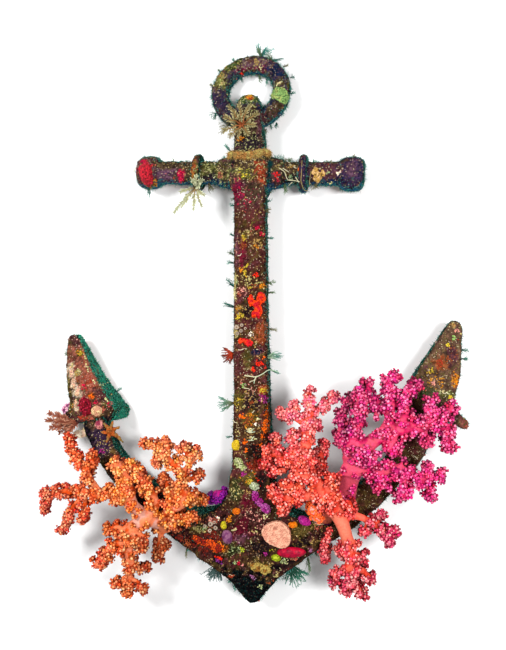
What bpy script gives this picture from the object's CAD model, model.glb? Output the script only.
# %% [markdown]
# # Dressing a reef anchor
#
# The solids of this anchor are plain: bars, plates and smooth lumps at their true size. On the real thing
# no iron shows. A crust of rust, sponge and algae covers it, and three soft corals sit on its arms.
# This lesson makes those looks piece by piece. It starts by loading the solids, which stay where they are.

# %% Load the solids
import math
import random

import bpy
import numpy as np
from mathutils import Matrix, Vector, noise
from mathutils.kdtree import KDTree


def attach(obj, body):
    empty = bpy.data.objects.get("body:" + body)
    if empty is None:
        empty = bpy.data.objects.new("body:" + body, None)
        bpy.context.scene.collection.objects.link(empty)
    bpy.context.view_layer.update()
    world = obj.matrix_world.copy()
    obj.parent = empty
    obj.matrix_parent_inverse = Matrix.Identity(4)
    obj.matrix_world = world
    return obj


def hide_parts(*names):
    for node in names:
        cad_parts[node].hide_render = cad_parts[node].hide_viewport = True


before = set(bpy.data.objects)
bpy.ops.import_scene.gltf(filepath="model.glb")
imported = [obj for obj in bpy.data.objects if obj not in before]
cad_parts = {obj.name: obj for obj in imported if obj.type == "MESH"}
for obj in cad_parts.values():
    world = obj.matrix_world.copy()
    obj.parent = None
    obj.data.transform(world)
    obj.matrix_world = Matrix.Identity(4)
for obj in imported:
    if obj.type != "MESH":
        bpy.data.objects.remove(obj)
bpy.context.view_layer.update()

MM = 0.001

# %% [markdown]
# ## Helpers
#
# An operator acts on whatever is selected, and loading leaves all solids selected. So the first helper
# picks one object alone. The others copy a solid, apply modifiers, and read or colour a mesh as arrays.

# %% Pick, copy and apply


def pick(obj):
    """Makes this the only object that the next operator acts on."""
    bpy.ops.object.select_all(action="DESELECT")
    obj.select_set(True)
    bpy.context.view_layer.objects.active = obj


def apply_all(obj):
    """Turns an object's modifiers and its place into plain mesh."""
    pick(obj)
    for step in list(obj.modifiers):
        bpy.ops.object.modifier_apply(modifier=step.name)
    bpy.ops.object.transform_apply(location=True, rotation=True, scale=True)


def new_object(name, data):
    """An object in the scene that shows this mesh, curve, lamp or camera."""
    made = bpy.data.objects.new(name, data)
    bpy.context.collection.objects.link(made)
    return made


def copy_of(node, name):
    """A solid's mesh on a new object, welded, because solids load as loose triangles."""
    made = new_object(name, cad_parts[node].data.copy())
    made.data.materials.clear()
    pick(made)
    bpy.ops.object.mode_set(mode="EDIT")
    bpy.ops.mesh.select_all(action="SELECT")
    bpy.ops.mesh.remove_doubles(threshold=0.01 * MM)
    bpy.ops.object.mode_set(mode="OBJECT")
    return made


def places(mesh):
    """Every vertex of a mesh as an array, in millimetres."""
    flat = np.empty(len(mesh.vertices) * 3)
    mesh.vertices.foreach_get("co", flat)
    return flat.reshape(-1, 3) / MM


def outward(mesh):
    """The direction that each vertex faces."""
    flat = np.empty(len(mesh.vertices) * 3)
    mesh.vertices.foreach_get("normal", flat)
    return flat.reshape(-1, 3)


def move_to(mesh, points):
    """Puts every vertex of a mesh at its place in millimetres."""
    mesh.vertices.foreach_set("co", (points * MM).ravel())
    mesh.update()


def tint(mesh, colours, layer="tint"):
    """Stores one colour for each vertex, which the material then reads."""
    found = mesh.color_attributes.get(layer) or mesh.color_attributes.new(layer, "FLOAT_COLOR", "POINT")
    full = colours if colours.shape[1] == 4 else np.c_[colours, np.ones(len(colours))]
    found.data.foreach_set("color", full.ravel())


FLOOR_GAP = 0.3  # how far growth stays above the floor, in mm


def keep_off_floor(obj):
    """The floor is flat, so growth that hangs below it is pressed flat too."""
    points = places(obj.data)
    points[:, 2] = np.maximum(points[:, 2], FLOOR_GAP)
    move_to(obj.data, points)


def stand_for(obj, *nodes):
    """Shows this piece in place of some solids, and lets it ride with them."""
    keep_off_floor(obj)
    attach(obj, "root")
    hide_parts(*nodes)
    print(obj.name, "stands for", ", ".join(nodes), "with", len(obj.data.polygons), "faces")


def grown_on(obj):
    """A piece that sits on a solid without hiding it."""
    keep_off_floor(obj)
    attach(obj, "root")
    print(obj.name, "has", len(obj.data.polygons), "faces")


# %% [markdown]
# ## Colours
#
# Reef growth is a mosaic of a few dozen colours. They are named once here, the way a painter would
# name them, and turned into the linear values that shaders use.

# %% Colours by name


def rgb(code):
    """#rrggbb as linear red, green and blue."""
    parts = np.array([int(code[i:i + 2], 16) / 255 for i in (1, 3, 5)])
    return np.where(parts < 0.04045, parts / 12.92, ((parts + 0.055) / 1.055) ** 2.4)


COLOURS = {name: rgb(code) for name, code in {
    "black": "#0d0b10", "dark": "#2a1a1c", "umber": "#4c3020", "maroon": "#5a2c2a", "mauve": "#683c44",
    "wine": "#6c142a", "plum": "#3e2438", "lilac": "#90587c", "brick": "#98341c", "rust": "#8c4420",
    "brown": "#64402a", "rose": "#a0503e", "olive": "#5c4c22", "moss": "#3e4020", "tan": "#a08048",
    "straw": "#b0a064", "mustard": "#b4982c", "cream": "#d0c48c", "white": "#ecdcc4", "yellow": "#dcc030",
    "amber": "#cc7c18", "blush": "#dcac8c", "navy": "#161c38", "slate": "#3c484c", "blue": "#1c4470",
    "orange": "#f06408", "scarlet": "#e0240c", "crimson": "#c01438", "pink": "#dc9484",
    "magenta": "#9c2074", "blood": "#6c1c10", "violet": "#6c2470", "lime": "#a0a820", "leaf": "#8cb060",
    "sage": "#98a470", "teal": "#186c5c", "pine": "#0c4434", "deep": "#082422",
}.items()}
print(len(COLOURS), "colours")


def soft_noise(points, size, seed=0):
    """Smooth noise, mostly from -0.5 to 0.5, with bumps of this size in millimetres."""
    shift = Vector((seed * 17.3, seed * 5.1, seed * 9.7))
    return np.array([noise.noise(Vector(p) / size + shift) for p in points])


def step_between(low, high, values):
    """0 below low, 1 above high and a smooth rise between them."""
    share = np.clip((values - low) / (high - low), 0, 1)
    return share * share * (3 - 2 * share)


def blend(a, b, share):
    """Mixes two colours or arrays of colours, by a share for each row."""
    share = np.asarray(share)[:, None]
    return a * (1 - share) + b * share


# %% [markdown]
# ## Finishes
#
# All growth here shares one habit: its colour lies in vertex colours, and the surface adds a fine
# grain, small pits and a wetter or drier gloss. A function builds that finish, so that each growth only
# states its own grain size, contrast, pit depth and gloss. The patterns read Object coordinates, which
# are in metres, so a grain of 2 mm has a scale of 500.

# %% A finish for living growth
COAT_ROUGHNESS = 0.25
BUMP_STRENGTH = 0.8


def add_node(tree, kind, **values):
    """A shader node, with its named sockets and settings filled in."""
    made = tree.nodes.new(kind)
    for name, value in values.items():
        if name in made.inputs:
            made.inputs[name].default_value = value
        else:
            setattr(made, name, value)
    return made


def new_finish(name, roughness, gloss=0.5):
    """A material with a plain shader, and its node tree."""
    made = bpy.data.materials.new(name)
    made.use_nodes = True
    shader = made.node_tree.nodes["Principled BSDF"]
    shader.inputs["Roughness"].default_value = roughness
    shader.inputs["Specular IOR Level"].default_value = gloss
    return made, made.node_tree, shader


def ranged(tree, socket, low, high, to_low, to_high):
    """A value spread from one range to another, held at its ends."""
    made = add_node(tree, "ShaderNodeMapRange")
    for name, value in (("From Min", low), ("From Max", high), ("To Min", to_low), ("To Max", to_high)):
        made.inputs[name].default_value = value
    tree.links.new(socket, made.inputs["Value"])
    return made.outputs["Result"]


def living_finish(name, grain_mm, contrast, depth_mm, roughness, coat=0.0, gloss=0.1):
    """A finish that takes its colour from the mesh and adds grain, fine pits and gloss."""
    made, tree, shader = new_finish(name, roughness, gloss)
    shader.inputs["Coat Weight"].default_value = coat
    shader.inputs["Coat Roughness"].default_value = COAT_ROUGHNESS
    link = tree.links.new
    where = add_node(tree, "ShaderNodeTexCoord")
    colour = add_node(tree, "ShaderNodeAttribute", attribute_name="tint")
    grain = add_node(tree, "ShaderNodeTexNoise", Scale=1 / (grain_mm * MM), Detail=3.0, Roughness=0.6)
    light = ranged(tree, grain.outputs["Fac"], 0.3, 0.7, 1 - contrast, 1 + contrast)
    shade = add_node(tree, "ShaderNodeVectorMath", operation="SCALE")
    bump = add_node(tree, "ShaderNodeBump", Strength=BUMP_STRENGTH, Distance=depth_mm * MM)
    link(where.outputs["Object"], grain.inputs["Vector"])
    link(colour.outputs["Color"], shade.inputs[0])
    link(light, shade.inputs["Scale"])
    link(shade.outputs["Vector"], shader.inputs["Base Color"])
    link(grain.outputs["Fac"], bump.inputs["Height"])
    link(bump.outputs["Normal"], shader.inputs["Normal"])
    return made


# %% [markdown]
# ## The crusted iron
#
# Old iron on a reef has lost its crisp edges: rust blisters, lime and dead growth make an uneven skin.
# Each iron solid is copied, given an even mesh by a voxel remesh, and pushed in and out by three
# patterns: broad blisters, small lumps and cell-like scabs. Sculpting by hand would look as good,
# but patterns do all sides evenly.

# %% Even skin and rough layers


def pattern(kind, size):
    """A procedural pattern for the Displace modifier, with features of this size in millimetres."""
    made = bpy.data.textures.new(f"{kind.lower()} {size}", kind)
    made.noise_scale = size * MM
    return made


def roughen(obj, voxel, layers):
    """An even mesh, pushed in and out by patterns of (kind, size, height)."""
    skin = obj.modifiers.new("even mesh", "REMESH")
    skin.mode = "VOXEL"
    skin.voxel_size = voxel * MM
    for kind, size, height in layers:
        push = obj.modifiers.new("rough layer", "DISPLACE")
        push.texture = pattern(kind, size)
        push.texture_coords = "LOCAL"
        push.strength = height * MM
        push.mid_level = 0.5
    apply_all(obj)
    obj.data.shade_smooth()


CRUST = (("CLOUDS", 22, 2.6), ("CLOUDS", 7, 2.0), ("VORONOI", 5, -1.3))
IRON_VOXELS = {
    # how fine each even mesh is, in mm
    "shank_and_arms": 3.4, "left_fluke": 2.7, "right_fluke": 2.7, "stock": 2.5, "left_collar": 2.2,
    "right_collar": 2.2, "ring": 2.5,
}
iron = {}
for node, voxel in IRON_VOXELS.items():
    iron[node] = copy_of(node, node + "_crust")
    roughen(iron[node], voxel, CRUST)
    print(node, len(iron[node].data.polygons), "faces")

# %% [markdown]
# ## Where each colour grows
#
# The crust isn't one colour. Each stretch of iron has a ground colour with flecks of another in it.
# The stretches are listed from the boss down, each as an oval on the front: centre, half width, half
# height, ground, flecks, the share that the flecks take and the turn. A later one covers an earlier one.

# %% The stretches of colour
STRETCHES = (
    # x, y, half width, half height, ground, flecks, share of flecks, and the turn where it has one
    # boss and shank
    (-2, 678, 36, 30, "umber", "tan", 0.4), (-30, 681, 7, 20, "dark", "wine", 0.3),
    (22, 667, 12, 22, "brick", "straw", 0.25), (-4, 667, 16, 10, "olive", "yellow", 0.3),
    (-20, 636, 13, 26, "wine", "crimson", 0.3), (8, 640, 16, 20, "umber", "wine", 0.3),
    (-8, 614, 14, 12, "maroon", "crimson", 0.15), (16, 573, 6, 6, "wine", "scarlet", 0.2),
    (-7, 560, 7, 9, "olive", "straw", 0.3, 45), (-10, 542, 6, 6, "brick", "rust", 0.3),
    (-14, 526, 9, 18, "wine", "maroon", 0.6), (14, 552, 14, 16, "umber", "tan", 0.3),
    (-22, 540, 5, 30, "mauve", "pink", 0.08), (2, 478, 26, 16, "umber", "straw", 0.25),
    (-12, 460, 10, 8, "maroon", "pink", 0.4), (24, 468, 6, 8, "olive", "amber", 0.3),
    (-25, 478, 4, 12, "sage", "straw", 0.5), (-26, 452, 4, 12, "olive", "cream", 0.4),
    (-16, 430, 9, 6, "olive", "amber", 0.3), (2, 425, 12, 14, "dark", "tan", 0.15),
    (24, 388, 11, 22, "rust", "rose", 0.35), (-2, 340, 9, 17, "olive", "moss", 0.5),
    (15, 351, 8, 6, "navy", "mauve", 0.3), (22, 330, 8, 12, "maroon", "scarlet", 0.1),
    (-20, 330, 8, 24, "maroon", "mauve", 0.3), (4, 292, 24, 16, "umber", "pink", 0.12),
    (26, 285, 8, 10, "brick", "tan", 0.35), (0, 262, 22, 18, "dark", "tan", 0.3),
    (-18, 272, 9, 12, "olive", "yellow", 0.15), (4, 234, 15, 18, "olive", "amber", 0.3),
    (30, 226, 5, 24, "rust", "orange", 0.5), (-20, 222, 9, 22, "umber", "straw", 0.2),
    (12, 206, 16, 14, "umber", "tan", 0.25), (10, 182, 14, 12, "dark", "brick", 0.25),
    (12, 156, 13, 9, "brick", "wine", 0.4), (4, 134, 16, 12, "olive", "amber", 0.2),
    (22, 128, 10, 16, "dark", "scarlet", 0.12), (-22, 109, 12, 18, "moss", "straw", 0.25),
    (2, 84, 16, 20, "wine", "brown", 0.4),
    # crown
    (17, 62, 26, 22, "maroon", "pink", 0.12), (-12, 46, 18, 20, "wine", "pink", 0.1),
    (-10, 30, 13, 9, "mauve", "lilac", 0.4), (-26, 13, 16, 9, "moss", "sage", 0.25),
    (-60, 62, 22, 14, "maroon", "rose", 0.15, 15), (-87, 44, 14, 8, "olive", "straw", 0.4, -10),
    (-90, 78, 24, 12, "deep", "olive", 0.3, -20), (-62, 24, 22, 12, "maroon", "blood", 0.5, -20),
    (-103, 23, 26, 10, "dark", "blood", 0.5, -35), (-128, 30, 16, 8, "dark", "blood", 0.4, -38),
    (-43, 14, 8, 6, "rust", "amber", 0.5), (-51, -4, 10, 7, "dark", "magenta", 0.2),
    (21, 19, 22, 16, "dark", "brown", 0.3), (23, -12, 22, 12, "olive", "tan", 0.3),
    (70, -2, 30, 9, "dark", "cream", 0.1, 30), (4, -60, 60, 44, "black", "deep", 0.3),
    (94, 50, 26, 12, "olive", "tan", 0.3, 32), (90, 26, 20, 8, "dark", "olive", 0.3, 30),
    # left arm and fluke
    (-278, 190, 24, 26, "plum", "tan", 0.14, 20), (-298, 192, 9, 40, "black", "plum", 0.3, 22),
    (-200, 100, 50, 26, "dark", "wine", 0.2, -38), (-310, 320, 30, 76, "rose", "rust", 0.25, 14),
    (-332, 378, 12, 14, "maroon", "pink", 0.1), (-337, 340, 8, 22, "rose", "olive", 0.25, 4),
    (-321, 351, 7, 6, "olive", "amber", 0.4), (-336, 318, 6, 14, "blush", "white", 0.3, 6),
    (-330, 294, 4, 13, "blush", "pink", 0.3, 6), (-321, 280, 9, 12, "blush", "white", 0.3, 10),
    (-322, 259, 4, 12, "blush", "rose", 0.3, 6), (-323, 316, 6, 7, "tan", "cream", 0.4),
    (-302, 294, 12, 20, "rose", "brick", 0.35, 14), (-291, 272, 9, 7, "rust", "orange", 0.3),
    (-342, 283, 4, 24, "olive", "tan", 0.3, -4), (-337, 254, 6, 9, "olive", "amber", 0.35),
    (-280, 272, 10, 14, "maroon", "rose", 0.4, 20), (-244, 231, 22, 12, "black", "plum", 0.3, 20),
    # right arm and fluke
    (245, 140, 60, 26, "umber", "olive", 0.35, 42), (332, 320, 42, 94, "brown", "olive", 0.3, -18),
    (347, 392, 14, 12, "brown", "straw", 0.15), (346, 345, 9, 20, "maroon", "rust", 0.25),
    (326, 332, 10, 13, "rust", "brick", 0.35), (318, 300, 16, 12, "brown", "amber", 0.2),
    (350, 304, 6, 15, "rust", "amber", 0.4), (334, 281, 18, 7, "olive", "cream", 0.3),
    (295, 286, 14, 12, "moss", "olive", 0.4), (365, 230, 12, 18, "rose", "olive", 0.4),
    # stock
    (-157, 680, 22, 24, "mauve", "plum", 0.3), (-140, 660, 24, 7, "wine", "plum", 0.4),
    (-150, 697, 30, 8, "umber", "tan", 0.2), (-114, 675, 10, 26, "umber", "tan", 0.35),
    (-100, 676, 7, 34, "rust", "amber", 0.2), (-64, 676, 34, 24, "olive", "straw", 0.3),
    (-72, 668, 12, 10, "dark", "cream", 0.15), (-53, 672, 6, 6, "rose", "amber", 0.3),
    (-48, 684, 10, 12, "umber", "olive", 0.4), (66, 676, 26, 22, "umber", "tan", 0.25),
    (38, 668, 5, 30, "deep", "pine", 0.4), (48, 664, 8, 12, "maroon", "crimson", 0.25),
    (74, 658, 16, 10, "dark", "sage", 0.15), (100, 668, 10, 40, "plum", "navy", 0.4),
    (140, 668, 34, 24, "maroon", "plum", 0.35), (150, 650, 34, 8, "navy", "slate", 0.4),
    (184, 664, 26, 32, "plum", "navy", 0.35), (182, 668, 9, 16, "mauve", "plum", 0.5),
    (-184, 656, 20, 9, "olive", "amber", 0.4), (-194, 690, 12, 14, "crimson", "scarlet", 0.5),
    (-128, 676, 6, 12, "crimson", "wine", 0.4), (-140, 654, 26, 6, "navy", "slate", 0.4),
    (-64, 656, 26, 8, "navy", "straw", 0.2),
    # ring and head
    (-2, 832, 76, 78, "plum", "slate", 0.5), (-1, 884, 34, 10, "mauve", "tan", 0.2),
    (8, 874, 34, 7, "wine", "mauve", 0.3), (-59, 858, 13, 24, "olive", "straw", 0.4, 15),
    (-60, 818, 16, 22, "plum", "navy", 0.4, 25), (30, 792, 24, 16, "navy", "slate", 0.4, 30),
    (-52, 890, 10, 5, "olive", "mustard", 0.6, 35), (-38, 884, 22, 9, "moss", "tan", 0.3, 30),
    (48, 868, 22, 16, "navy", "mauve", 0.35, -40), (51, 841, 10, 6, "umber", "cream", 0.4),
    (44, 790, 18, 14, "umber", "mauve", 0.3, 30), (0, 812, 26, 16, "moss", "straw", 0.35),
    (2, 812, 9, 7, "rust", "amber", 0.4), (0, 764, 28, 30, "umber", "straw", 0.2),
    (22, 760, 8, 30, "maroon", "mauve", 0.3), (2, 724, 34, 14, "dark", "straw", 0.3),
)
print(len(STRETCHES), "stretches of colour")


FRONT = 26  # the stretches colour what lies above this height
STRETCH_REACH = 1.6  # how far from its middle a ragged stretch can show, in half widths


def crust_colours(points, facing):
    """Ground, flecks and the flecks' share for points in millimetres that face these ways."""
    broad, middling = soft_noise(points, 28, 1), soft_noise(points, 10, 7)
    ground = blend(COLOURS["maroon"], COLOURS["umber"], step_between(-0.2, 0.25, broad))
    ground = blend(ground, COLOURS["olive"], 0.7 * step_between(0.12, 0.35, middling))
    fleck = blend(COLOURS["mauve"], COLOURS["tan"], step_between(-0.1, 0.1, soft_noise(points, 12, 2)))
    share = np.full(len(points), 0.08)
    ragged = soft_noise(points, 9, 3) * 0.8 + soft_noise(points, 3.5, 4) * 0.6
    front = points[:, 2] > FRONT
    for x, y, half_x, half_y, ground_name, fleck_name, fleck_share, *turned in STRETCHES:
        near = front & (np.abs(points[:, 0] - x) < STRETCH_REACH * max(half_x, half_y))
        near &= np.abs(points[:, 1] - y) < STRETCH_REACH * max(half_x, half_y)
        turn = math.radians(sum(turned))
        c, s = math.cos(turn), math.sin(turn)
        across = ((points[near, 0] - x) * c + (points[near, 1] - y) * s) / half_x
        along = ((points[near, 1] - y) * c - (points[near, 0] - x) * s) / half_y
        cover = step_between(1.15, 0.8, np.hypot(across, along) + ragged[near])
        ground[near] = blend(ground[near], COLOURS[ground_name], cover)
        fleck[near] = blend(fleck[near], COLOURS[fleck_name], cover)
        share[near] = share[near] * (1 - cover) + 0.6 * fleck_share * cover
    # growth is colder on the stock and the ring, and paler on the flukes, than along the shank
    for place, tone in (
        (step_between(590, 640, points[:, 1]), (1.0, 1.45, 1.75)),
        (step_between(775, 800, points[:, 1]), (1.15, 1.25, 0.95)),
        (step_between(285, 300, points[:, 0]), (1.2, 1.6, 2.1)),
        (step_between(-250, -265, points[:, 0]), (0.95, 1.25, 1.35)),
    ):
        ground = ground * blend(np.ones((1, 3)), np.array([tone]), place)
        fleck = fleck * blend(np.ones((1, 3)), 0.85 * np.sqrt([tone]), place)
    # the crown is the darkest part
    depth = 0.56 - 0.18 * step_between(120, 80, points[:, 1]) * (np.abs(points[:, 0]) < 150)
    ground = ground * (depth + 0.6 * soft_noise(points, 5, 8))[:, None]
    # the sides of the shank stay brown near the front, and all other sides are green with algae
    on_shank = (np.abs(points[:, 0]) < 45) & (points[:, 1] > 60) & (points[:, 1] < 640)
    side = step_between(0.5, 0.2, facing[:, 2] + 0.35 * soft_noise(points, 8, 5))
    side = side * np.where(on_shank, step_between(46, 24, points[:, 2]), 1.0)
    ground = ground * (1 - 0.5 * step_between(0.75, 0.4, facing[:, 2]) * (1 - side))[:, None]
    # algae thrive on the lit side of the left fluke. On the stock and the ring, what faces up the anchor
    # is teal and what faces down it is a cold blue
    algae = blend(COLOURS["deep"], COLOURS["pine"], step_between(-0.15, 0.3, soft_noise(points, 10, 6)))
    lit_side = (points[:, 0] < -240) & (points[:, 1] > 200)
    patchy = 0.9 + 2.6 * step_between(-0.15, 0.2, soft_noise(points, 13, 15))
    algae = algae * np.where(lit_side, patchy, 0.8)[:, None]
    upper = points[:, 1] > 600
    algae = blend(algae, COLOURS["blue"], 0.6 * upper * step_between(-0.3, -0.8, facing[:, 1]))
    algae = blend(algae, COLOURS["teal"], 0.6 * upper * step_between(0.2, 0.7, facing[:, 1]))
    ground = blend(ground, algae, side)
    fleck = blend(fleck * 0.85, COLOURS["teal"] * np.where(on_shank, 0.5, 1.0)[:, None], side)
    back = step_between(-0.4, -0.7, facing[:, 2])
    ground = blend(ground, blend(COLOURS["rust"], COLOURS["umber"], step_between(-0.1, 0.2, broad)), back)
    return ground, fleck, share


for obj in iron.values():
    ground, fleck, share = crust_colours(places(obj.data), outward(obj.data))
    tint(obj.data, np.c_[ground, share], "ground")
    tint(obj.data, fleck, "fleck")
print(len(STRETCHES), "stretches laid on", len(iron), "iron pieces")

# %% [markdown]
# The iron's finish lays the flecks into the ground as a mosaic of cells two millimetres wide, which is
# how crusts of different kinds meet. A cell shows the fleck colour if its own random number is below the
# share that the stretch gives. Over that lies a fine grain of light and dark, and here and there a pale
# crumb of lime, least on the darkest ground. The same patterns raise the surface. Painting each piece by
# hand would need an image, and this needs none.

# %% The iron's finish
# how often each pattern repeats along a metre
WANDER_SCALE = 260.0
MOSAIC_SCALE = 430.0
CRUMB_SCALE = 520.0
GRAIN_SCALE = 560.0
BROAD_SCALE = 60.0
WANDER = (0.004, 0.004, 0.004)  # how far the mosaic is pulled out of its straight borders, in metres
FLECK_STRENGTH = 0.8
RARE_CRUMB = 0.92  # only cells with a lot above this hold a crumb
CRUMB_RADIUS = 0.42  # of its cell
MOSAIC_HEIGHT = 0.001
GRAIN_HEIGHT = 0.0007


def maths(tree, operation, a, b):
    """A maths node on two sockets, or on a socket and a number."""
    made = add_node(tree, "ShaderNodeMath", operation=operation)
    for place, value in zip(made.inputs, (a, b)):
        if isinstance(value, float):
            place.default_value = value
        else:
            tree.links.new(value, place)
    return made.outputs["Value"]


def crust_finish():
    """The iron's finish: a mosaic of ground and flecks, with grain and crumbs of lime."""
    made, tree, shader = new_finish("rusted and overgrown iron", 0.95, 0.03)
    link = tree.links.new
    where = add_node(tree, "ShaderNodeTexCoord").outputs["Object"]
    ground = add_node(tree, "ShaderNodeAttribute", attribute_name="ground")
    fleck = add_node(tree, "ShaderNodeAttribute", attribute_name="fleck")
    wander = add_node(tree, "ShaderNodeTexNoise", Scale=WANDER_SCALE, Detail=2.0)
    bend = add_node(tree, "ShaderNodeVectorMath", operation="MULTIPLY_ADD")
    bend.inputs[1].default_value = WANDER
    link(where, wander.inputs["Vector"])
    link(wander.outputs["Color"], bend.inputs[0])
    link(where, bend.inputs[2])
    cells = add_node(tree, "ShaderNodeTexVoronoi", Scale=MOSAIC_SCALE)
    crumbs = add_node(tree, "ShaderNodeTexVoronoi", Scale=CRUMB_SCALE)
    grain = add_node(tree, "ShaderNodeTexNoise", Scale=GRAIN_SCALE, Detail=3.0, Roughness=0.7)
    broad = add_node(tree, "ShaderNodeTexNoise", Scale=BROAD_SCALE, Detail=4.0)
    link(bend.outputs["Vector"], cells.inputs["Vector"])
    for texture in (crumbs, grain, broad):
        link(where, texture.inputs["Vector"])
    lot = add_node(tree, "ShaderNodeSeparateColor")
    link(cells.outputs["Color"], lot.inputs["Color"])
    shows = maths(tree, "LESS_THAN", lot.outputs["Red"], ground.outputs["Alpha"])
    mosaic = add_node(tree, "ShaderNodeMix", data_type="RGBA")
    link(maths(tree, "MULTIPLY", shows, FLECK_STRENGTH), mosaic.inputs["Factor"])
    link(ground.outputs["Color"], mosaic.inputs["A"])
    link(fleck.outputs["Color"], mosaic.inputs["B"])
    light = maths(
        tree, "MULTIPLY", ranged(tree, grain.outputs["Fac"], 0.3, 0.7, 0.5, 1.5),
        ranged(tree, broad.outputs["Fac"], 0.3, 0.7, 0.8, 1.2),
    )
    light = maths(tree, "MULTIPLY", light, ranged(tree, lot.outputs["Green"], 0.0, 1.0, 0.75, 1.3))
    shade = add_node(tree, "ShaderNodeVectorMath", operation="SCALE")
    link(mosaic.outputs["Result"], shade.inputs[0])
    link(light, shade.inputs["Scale"])
    crumb_lot = add_node(tree, "ShaderNodeSeparateColor")
    link(crumbs.outputs["Color"], crumb_lot.inputs["Color"])
    rare = maths(tree, "GREATER_THAN", crumb_lot.outputs["Blue"], RARE_CRUMB)
    small = maths(tree, "LESS_THAN", crumbs.outputs["Distance"], CRUMB_RADIUS)
    limy_crumbs = add_node(tree, "ShaderNodeMix", data_type="RGBA")
    limy_crumbs.inputs["B"].default_value = (*rgb("#c4b490"), 1)
    strong = ranged(tree, ground.outputs["Fac"], 0.004, 0.02, 0.1, 0.75)
    crumb = maths(tree, "MULTIPLY", rare, small)
    link(maths(tree, "MULTIPLY", crumb, strong), limy_crumbs.inputs["Factor"])
    link(shade.outputs["Vector"], limy_crumbs.inputs["A"])
    link(limy_crumbs.outputs["Result"], shader.inputs["Base Color"])
    raised = add_node(tree, "ShaderNodeBump", Strength=BUMP_STRENGTH, Distance=MOSAIC_HEIGHT)
    link(cells.outputs["Distance"], raised.inputs["Height"])
    pitted = add_node(tree, "ShaderNodeBump", Strength=BUMP_STRENGTH, Distance=GRAIN_HEIGHT)
    link(grain.outputs["Fac"], pitted.inputs["Height"])
    link(raised.outputs["Normal"], pitted.inputs["Normal"])
    link(pitted.outputs["Normal"], shader.inputs["Normal"])
    return made


iron_finish = crust_finish()
for node, obj in iron.items():
    obj.data.materials.append(iron_finish)
    stand_for(obj, node)

# %% [markdown]
# ## Stamping small shapes
#
# Polyps, grains of crust, barnacles and hairs repeat by the thousand. Each is modelled once with a few
# dozen faces and then stamped: its vertices are turned, sized and moved for every place, and all copies
# become one mesh. Instances would be lighter, but an exported piece needs a real mesh of its own.

# %% Stamp copies of a small mesh
FOOT_TO = 0.55  # share of a copy's height over which its foot's colour turns into its body's
TIP_FROM = 0.6  # share of the height where its tip's colour sets in


def turned_to(directions, spins):
    """A turn for each row that points +Z along its direction, after a spin about it."""
    z = directions / np.linalg.norm(directions, axis=1, keepdims=True)
    helper = np.where(np.abs(z[:, 2:]) < 0.9, (0.0, 0.0, 1.0), (1.0, 0.0, 0.0))
    x = np.cross(helper, z)
    x /= np.linalg.norm(x, axis=1, keepdims=True)
    y = np.cross(z, x)
    c, s = np.cos(spins)[:, None], np.sin(spins)[:, None]
    return np.stack([x * c + y * s, y * c - x * s, z], axis=2)


def stamp(name, template, centres, turns, sizes, foot, body, tip):
    """Copies of a template (in mm, about its origin), coloured from foot to tip along its height."""
    shape = places(template.data)
    points = np.einsum("nij,nvj->nvi", turns, shape[None] * sizes[:, None]) + centres[:, None]
    faces = [tuple(face.vertices) for face in template.data.polygons]
    count = len(shape)
    every = [tuple(v + i * count for v in face) for i in range(len(centres)) for face in faces]
    mesh = bpy.data.meshes.new(name)
    mesh.from_pydata((points.reshape(-1, 3) * MM).tolist(), [], every)
    height = (shape[:, 2] - shape[:, 2].min()) / np.ptp(shape[:, 2])
    low = step_between(0.0, FOOT_TO, height)[None, :, None]
    high = step_between(TIP_FROM, 1.0, height)[None, :, None]
    colours = foot[:, None] * (1 - low) + body[:, None] * low
    colours = colours * (1 - high) + tip[:, None] * high
    tint(mesh, colours.reshape(-1, 3))
    mesh.shade_smooth()
    return new_object(name, mesh)


def join(name, pieces):
    """Several pieces of one growth as one object of this name."""
    pick(pieces[0])
    for piece in pieces:
        piece.select_set(True)
    bpy.ops.object.join()
    pieces[0].name = name
    return pieces[0]


def square_cm(obj):
    """The area of an object's skin in square centimetres."""
    return sum(face.area for face in obj.data.polygons) * 1e4


def spots_on(obj, count, dice, weigh):
    """Random places on a mesh, in mm, with the way each faces. weigh says how likely each place is."""
    mesh = obj.data
    mesh.calc_loop_triangles()
    corner = np.empty(len(mesh.loop_triangles) * 3, int)
    mesh.loop_triangles.foreach_get("vertices", corner)
    corner = places(mesh)[corner.reshape(-1, 3)]
    cross = np.cross(corner[:, 1] - corner[:, 0], corner[:, 2] - corner[:, 0])
    area = np.linalg.norm(cross, axis=1)
    facing = cross / np.maximum(area, 1e-9)[:, None]
    chance = area * weigh(corner.mean(axis=1), facing)
    chosen = dice.choice(len(area), size=count, p=chance / chance.sum())
    a, b = dice.random((2, count, 1))
    flip = a + b > 1
    a, b = np.where(flip, 1 - a, a), np.where(flip, 1 - b, b)
    first, second, third = corner[chosen, 0], corner[chosen, 1], corner[chosen, 2]
    return first + (second - first) * a + (third - first) * b, facing[chosen]


# %% [markdown]
# ## Soft corals
#
# A soft coral is a fleshy tree: a smooth pale trunk, side branches and twigs that end in round bundles
# of tiny polyps. The solids were grown by a small recipe, and the same recipe with the same seeds is
# repeated here, so that every bundle lands where its solid is. A scan or a sculpt could
# not be matched to the solids so simply.

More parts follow.
